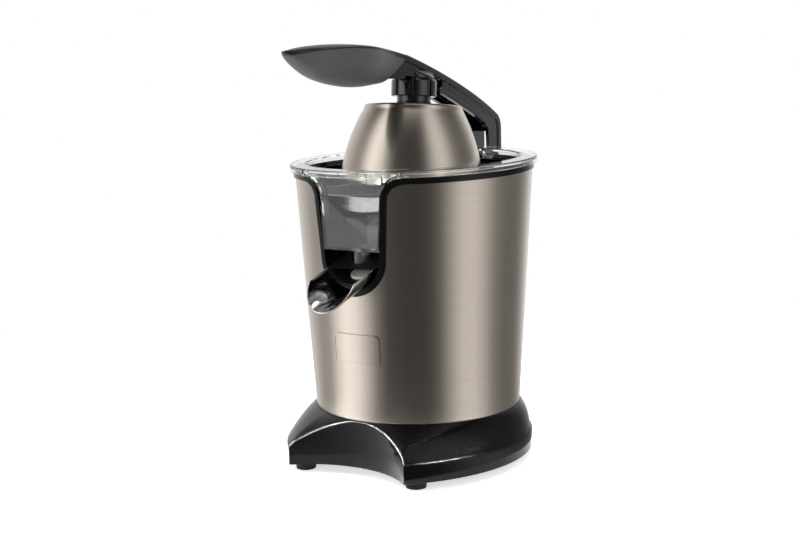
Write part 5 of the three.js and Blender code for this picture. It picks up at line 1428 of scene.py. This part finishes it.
# ------------------------------------------------------------------ stage
WHITE = (1, 1, 1, 1)


def seen_directly(tree):
    """Is 1 for rays of the eye, of mirrors and of clear things, 0 for the light that falls on
    things."""
    path = add_node(tree, "ShaderNodeLightPath").outputs
    seen = add_node(tree, "ShaderNodeMath", {"operation": "MAXIMUM"},
                    i0=path["Is Camera Ray"], i1=path["Is Transmission Ray"])
    seen = add_node(tree, "ShaderNodeMath", {"operation": "MAXIMUM"},
                    i0=seen.outputs[0], i1=path["Is Glossy Ray"])
    return seen.outputs[0]


def make_world():
    """White where it is seen, and a softer even light on things."""
    world = bpy.data.worlds.new("soft studio")
    bpy.context.scene.world = world
    world.use_nodes = True
    tree = world.node_tree
    tree.nodes.clear()
    plain = add_node(tree, "ShaderNodeBackground", Color=WHITE, Strength=1.0)
    soft = add_node(tree, "ShaderNodeBackground", Color=WHITE, Strength=0.35)
    mix = add_node(tree, "ShaderNodeMixShader", i0=seen_directly(tree), i1=soft.outputs[0],
                   i2=plain.outputs[0])
    add_node(tree, "ShaderNodeOutputWorld", Surface=mix.outputs[0])


def stage_piece(name, points, faces, material):
    """A piece of the stage, in metres, and the empty node tree of its material."""
    mesh = bpy.data.meshes.new(name)
    mesh.from_pydata(points, [], faces)
    piece = bpy.data.objects.new(name, mesh)
    bpy.context.scene.collection.objects.link(piece)
    made = bpy.data.materials.new(material)
    made.use_nodes = True
    made.node_tree.nodes.clear()
    mesh.materials.append(made)
    return piece, made.node_tree


def make_floor():
    """A pale board that melts into the white surround but keeps the press's shadow."""
    half = 6.0
    corners = [(-half, -half, 0), (half, -half, 0), (half, half, 0), (-half, half, 0)]
    floor, tree = stage_piece("floor", corners, [(0, 1, 2, 3)], "pale board")
    tint = bpy.context.scene.citrus_press_finish.floor
    board = add_node(tree, "ShaderNodeBsdfDiffuse", Color=(*tint, 1))
    lift = add_node(tree, "ShaderNodeEmission", Color=WHITE, Strength=0.62)
    lifted = add_node(tree, "ShaderNodeAddShader", i0=board.outputs[0], i1=lift.outputs[0])
    plain = add_node(tree, "ShaderNodeEmission", Color=WHITE, Strength=1.0)
    where = add_node(tree, "ShaderNodeTexCoord").outputs["Object"]
    reach = add_node(tree, "ShaderNodeVectorMath", {"operation": "LENGTH"}, i0=where)
    # it turns plain white between 0.3 m and 0.8 m from the middle
    far = add_node(tree, "ShaderNodeMapRange", {"interpolation_type": "SMOOTHSTEP"},
                   i0=reach.outputs["Value"], i1=0.3, i2=0.8)
    faded = add_node(tree, "ShaderNodeMixShader", i0=far.outputs[0], i1=lifted.outputs[0],
                     i2=plain.outputs[0])
    mix = add_node(tree, "ShaderNodeMixShader", i0=seen_directly(tree), i1=board.outputs[0],
                   i2=faded.outputs[0])
    add_node(tree, "ShaderNodeOutputMaterial", Surface=mix.outputs[0])


# the camera's direction and tilt in degrees, and its place in millimetres about the body's axis
CAMERA_HEADING, CAMERA_PITCH, CAMERA_ROLL = 33.67, 8.12, -1.23
CAMERA_SPOT = (609.9, -939.0, 317.8)

# light and dark cloths of the studio tent: degrees from the camera, counted to its right, and
# brightness
CLOTHS = (
    (-180, 0.9), (-150, 0.9), (-128, 0.8), (-110, 0.5), (-95, 0.55), (-84, 1.2), (-72, 1.8),
    (-58, 1.5), (-46, 0.8), (-36, 0.27), (-26, 0.09), (0, 0.07), (14, 0.08), (24, 0.2),
    (34, 0.6), (44, 1.02), (56, 1.05), (66, 0.75), (78, 0.34), (92, 0.22), (110, 0.24),
    (124, 0.5), (138, 0.95), (160, 1.0), (180, 0.9),
)


def make_tent():
    """A round tent of light and dark cloths that only polished and glossy things see."""
    height, sides, wall = 1.1, 96, 0.46
    # radius and height in metres, from a low skirt round the base up to the top
    profile = ((0.125, 0.001), (0.2, 0.022), (0.28, 0.07), (0.4, 0.18), (wall, 0.34),
               (wall, height), (0.3, 1.3), (0.001, 1.36))
    points, faces = [], []
    for i in range(sides):
        angle = 2 * math.pi * i / sides
        points += [(reach * math.cos(angle), reach * math.sin(angle), level)
                   for reach, level in profile]
        for k in range(len(profile) - 1):
            a, b = len(profile) * i + k, len(profile) * ((i + 1) % sides) + k
            faces.append((a, b, b + 1, a + 1))
    tent, tree = stage_piece("tent", points, faces, "tent cloths")
    tent.visible_camera = tent.visible_diffuse = False
    tent.visible_transmission = tent.visible_shadow = False
    where = add_node(tree, "ShaderNodeTexCoord").outputs["Object"]
    turned = add_node(tree, "ShaderNodeMapping", Vector=where,
                      Rotation=(0, 0, math.radians(90 - CAMERA_HEADING)))
    around = add_node(tree, "ShaderNodeTexGradient", {"gradient_type": "RADIAL"},
                      Vector=turned.outputs[0])
    cloths = add_node(tree, "ShaderNodeValToRGB", i0=around.outputs["Fac"])
    stops = cloths.color_ramp.elements
    peak = max(level for _, level in CLOTHS)
    for degrees, level in CLOTHS[1:-1]:
        stops.new(0.5 + degrees / 360).color = (level / peak, level / peak, level / peak, 1)
    for stop, level in ((stops[0], CLOTHS[0][1]), (stops[-1], CLOTHS[-1][1])):
        stop.color = (level / peak, level / peak, level / peak, 1)
    glow = add_node(tree, "ShaderNodeEmission", Color=cloths.outputs[0], Strength=peak)
    # the lamp cloth hangs over the camera's side; the far side is dark from lower down
    parts = add_node(tree, "ShaderNodeSeparateXYZ", Vector=turned.outputs[0]).outputs
    lamp = add_node(tree, "ShaderNodeMapRange", i0=parts["X"], i1=0.02, i2=0.12, i3=0.05, i4=0.7)
    high = add_node(tree, "ShaderNodeEmission", Color=WHITE, Strength=lamp.outputs[0])
    lift = add_node(tree, "ShaderNodeMapRange", i0=parts["X"], i1=-0.1, i2=0.1, i3=0.45, i4=0.0)
    level = add_node(tree, "ShaderNodeMath", {"operation": "ADD"}, i0=parts["Z"],
                     i1=lift.outputs[0])
    above = add_node(tree, "ShaderNodeMapRange", i0=level.outputs[0], i1=height * 0.8,
                     i2=height * 1.1)
    mix = add_node(tree, "ShaderNodeMixShader", i0=above.outputs[0], i1=glow.outputs[0],
                   i2=high.outputs[0])
    add_node(tree, "ShaderNodeOutputMaterial", Surface=mix.outputs[0])


def area_light(name, place_at, aim, size, power):
    data = bpy.data.lights.new(name, "AREA")
    data.shape, data.size, data.size_y = "RECTANGLE", size[0], size[1]
    data.energy = power
    light = bpy.data.objects.new(name, data)
    light.location = place_at
    light.rotation_euler = (Vector(aim) - Vector(place_at)).to_track_quat("-Z", "Y").to_euler()
    light.visible_glossy = False
    bpy.context.scene.collection.objects.link(light)
    return light


def make_lights():
    """Softboxes that light the press without showing in it."""
    middle_of_press = (0, 0, 0.18)
    area_light("left softbox", (-1.3, -1.0, 1.1), middle_of_press, (0.5, 1.5), 16)
    area_light("right softbox", (1.5, -0.3, 0.9), middle_of_press, (0.4, 1.4), 9)
    area_light("low fill", (-0.25, -1.1, 0.3), (0, -0.08, 0.17), (0.3, 0.3), 2.5)
    area_light("overhead", (0.1, 0.2, 1.7), (0, 0, 0.1), (1.2, 1.0), 11)


def make_edge_lamps():
    """Lamps that only the base mirrors, which draw the bright lines along its rounded edges."""
    mirrors = bpy.data.collections.new("mirrors of the edge lamps")
    mirrors.objects.link(bpy.data.objects["base_shell"])
    slope = (0, 0, 0.05)
    for lamp in (
        area_light("left edge lamp", (-0.5, -0.65, 0.45), slope, (1.0, 0.3), 1300),
        area_light("right edge lamp", (0.72, -0.15, 0.32), slope, (0.42, 0.11), 260),
    ):
        lamp.visible_glossy = True
        lamp.visible_camera = lamp.visible_diffuse = lamp.visible_transmission = False
        lamp.light_linking.receiver_collection = mirrors


def make_camera():
    data = bpy.data.cameras.new("camera")
    data.sensor_width, data.lens = 36.0, 61.185
    camera = bpy.data.objects.new("camera", data)
    angles = (CAMERA_HEADING, CAMERA_PITCH, CAMERA_ROLL)
    heading, pitch, roll = (math.radians(angle) for angle in angles)
    forward = Vector((-math.sin(heading) * math.cos(pitch), math.cos(heading) * math.cos(pitch),
                      -math.sin(pitch)))
    right = Vector((math.cos(heading), math.sin(heading), 0))
    up = right.cross(forward)
    level = math.cos(roll) * right + math.sin(roll) * up
    upright = -math.sin(roll) * right + math.cos(roll) * up
    turned = Matrix((level, upright, -forward)).transposed().to_4x4()
    camera.matrix_world = Matrix.Translation(place(CAMERA_SPOT)) @ turned
    bpy.context.scene.collection.objects.link(camera)
    bpy.context.scene.camera = camera


# ------------------------------------------------------------------ operators and panel
class PreparePress(bpy.types.Operator):
    """Set up the tilted frames and the finishes that every piece uses"""

    bl_idname = "citrus_press.prepare"
    bl_label = "Prepare"

    def execute(self, context):
        s, a = body_sizes(), arm_sizes()
        FRAMES["rim"] = tilt_frame(s.rim_slope, 0, s.rim_height)
        # on the leaning axis of dome and collar, where the two meet
        FRAMES["dome"] = tilt_frame(-a.dome_lean, 2.5, 299)
        # midway between the trough's two edges, which fall towards the glass
        FRAMES["spout"] = tilt_frame(16.5, -80, 172.2)
        # the pad under the outlet, tilted a little more than the spout
        pad = FRAMES["spout"].inverted() @ Vector((0, -76.5, 163.8))
        FRAMES["pad"] = FRAMES["spout"] @ tilt_frame(3.5, pad.y, pad.z)
        make_finishes()
        return {"FINISHED"}


class MakeBase(bpy.types.Operator):
    """Make the base with its hollowed front, cover, feet, screws and cord grommet"""

    bl_idname = "citrus_press.base"
    bl_label = "Base"

    def execute(self, context):
        make_base_housing()
        make_base_plate()
        make_feet_and_screws()
        make_gland()
        return {"FINISHED"}


class MakeShell(bpy.types.Operator):
    """Make the brushed metal shell with its window, and its plain badge"""

    bl_idname = "citrus_press.shell"
    bl_label = "Metal shell"

    def execute(self, context):
        make_body_shell()
        make_badge()
        return {"FINISHED"}


class MakeHousing(bpy.types.Operator):
    """Make the black ring, window surround and tub that hold the bowl"""

    bl_idname = "citrus_press.housing"
    bl_label = "Upper housing"

    def execute(self, context):
        make_upper_housing()
        return {"FINISHED"}


class MakeBowl(bpy.types.Operator):
    """Make the clear bowl, the pulp sieve and the juicing cone"""

    bl_idname = "citrus_press.bowl"
    bl_label = "Bowl, sieve and cone"

    def execute(self, context):
        make_bowl()
        make_filter()
        make_cone()
        return {"FINISHED"}


class MakeDome(bpy.types.Operator):
    """Make the pressing dome, its lining, neck, bolt and twist collar"""

    bl_idname = "citrus_press.dome"
    bl_label = "Pressing dome"

    def execute(self, context):
        make_dome()
        make_collar()
        return {"FINISHED"}


class MakeArm(bpy.types.Operator):
    """Make the lever arm, its soft grip and the hinge behind the body"""

    bl_idname = "citrus_press.arm"
    bl_label = "Lever arm"

    def execute(self, context):
        make_arm()
        make_grip()
        make_hinge()
        return {"FINISHED"}


class MakeSpout(bpy.types.Operator):
    """Make the polished trough, its cradle, drip stop and axle"""

    bl_idname = "citrus_press.spout"
    bl_label = "Spout"

    def execute(self, context):
        make_trough()
        make_carrier()
        return {"FINISHED"}


class FinishInside(bpy.types.Operator):
    """Give the motor, gears and other inner pieces their finishes"""

    bl_idname = "citrus_press.inside"
    bl_label = "Inner pieces"

    def execute(self, context):
        make_spindle()
        finish_inner_nodes()
        return {"FINISHED"}


class MakeStage(bpy.types.Operator):
    """Make the floor, surround, lights and camera"""

    bl_idname = "citrus_press.stage"
    bl_label = "Stage"

    def execute(self, context):
        make_world()
        make_floor()
        make_tent()
        make_lights()
        make_edge_lamps()
        make_camera()
        context.scene.view_settings.view_transform = "Standard"
        return {"FINISHED"}


STEPS = (PreparePress, MakeBase, MakeShell, MakeHousing, MakeBowl, MakeDome, MakeArm, MakeSpout,
         FinishInside, MakeStage)


class CitrusPressPanel(bpy.types.Panel):
    """Lists the press's sizes, colours and making steps"""

    bl_idname = "VIEW3D_PT_citrus_press"
    bl_label = "Citrus Press"
    bl_space_type = "VIEW_3D"
    bl_region_type = "UI"
    bl_category = "Citrus Press"

    def draw(self, context):
        scene = context.scene
        for group in (scene.citrus_press_body, scene.citrus_press_arm, scene.citrus_press_finish):
            box = self.layout.box()
            for key in group.__annotations__:
                box.prop(group, key)
        for step in STEPS:
            self.layout.operator(step.bl_idname)


GROUPS = (CitrusPressBody, CitrusPressArm, CitrusPressFinish)


def register():
    for item in GROUPS + STEPS + (CitrusPressPanel,):
        bpy.utils.register_class(item)
    bpy.types.Scene.citrus_press_body = PointerProperty(type=CitrusPressBody)
    bpy.types.Scene.citrus_press_arm = PointerProperty(type=CitrusPressArm)
    bpy.types.Scene.citrus_press_finish = PointerProperty(type=CitrusPressFinish)


def unregister():
    del bpy.types.Scene.citrus_press_finish
    del bpy.types.Scene.citrus_press_arm
    del bpy.types.Scene.citrus_press_body
    for item in reversed(GROUPS + STEPS + (CitrusPressPanel,)):
        bpy.utils.unregister_class(item)


def main():
    register()
    for step in STEPS:
        family, action = step.bl_idname.split(".")
        getattr(getattr(bpy.ops, family), action)()


if __name__ == "__main__":
    main()
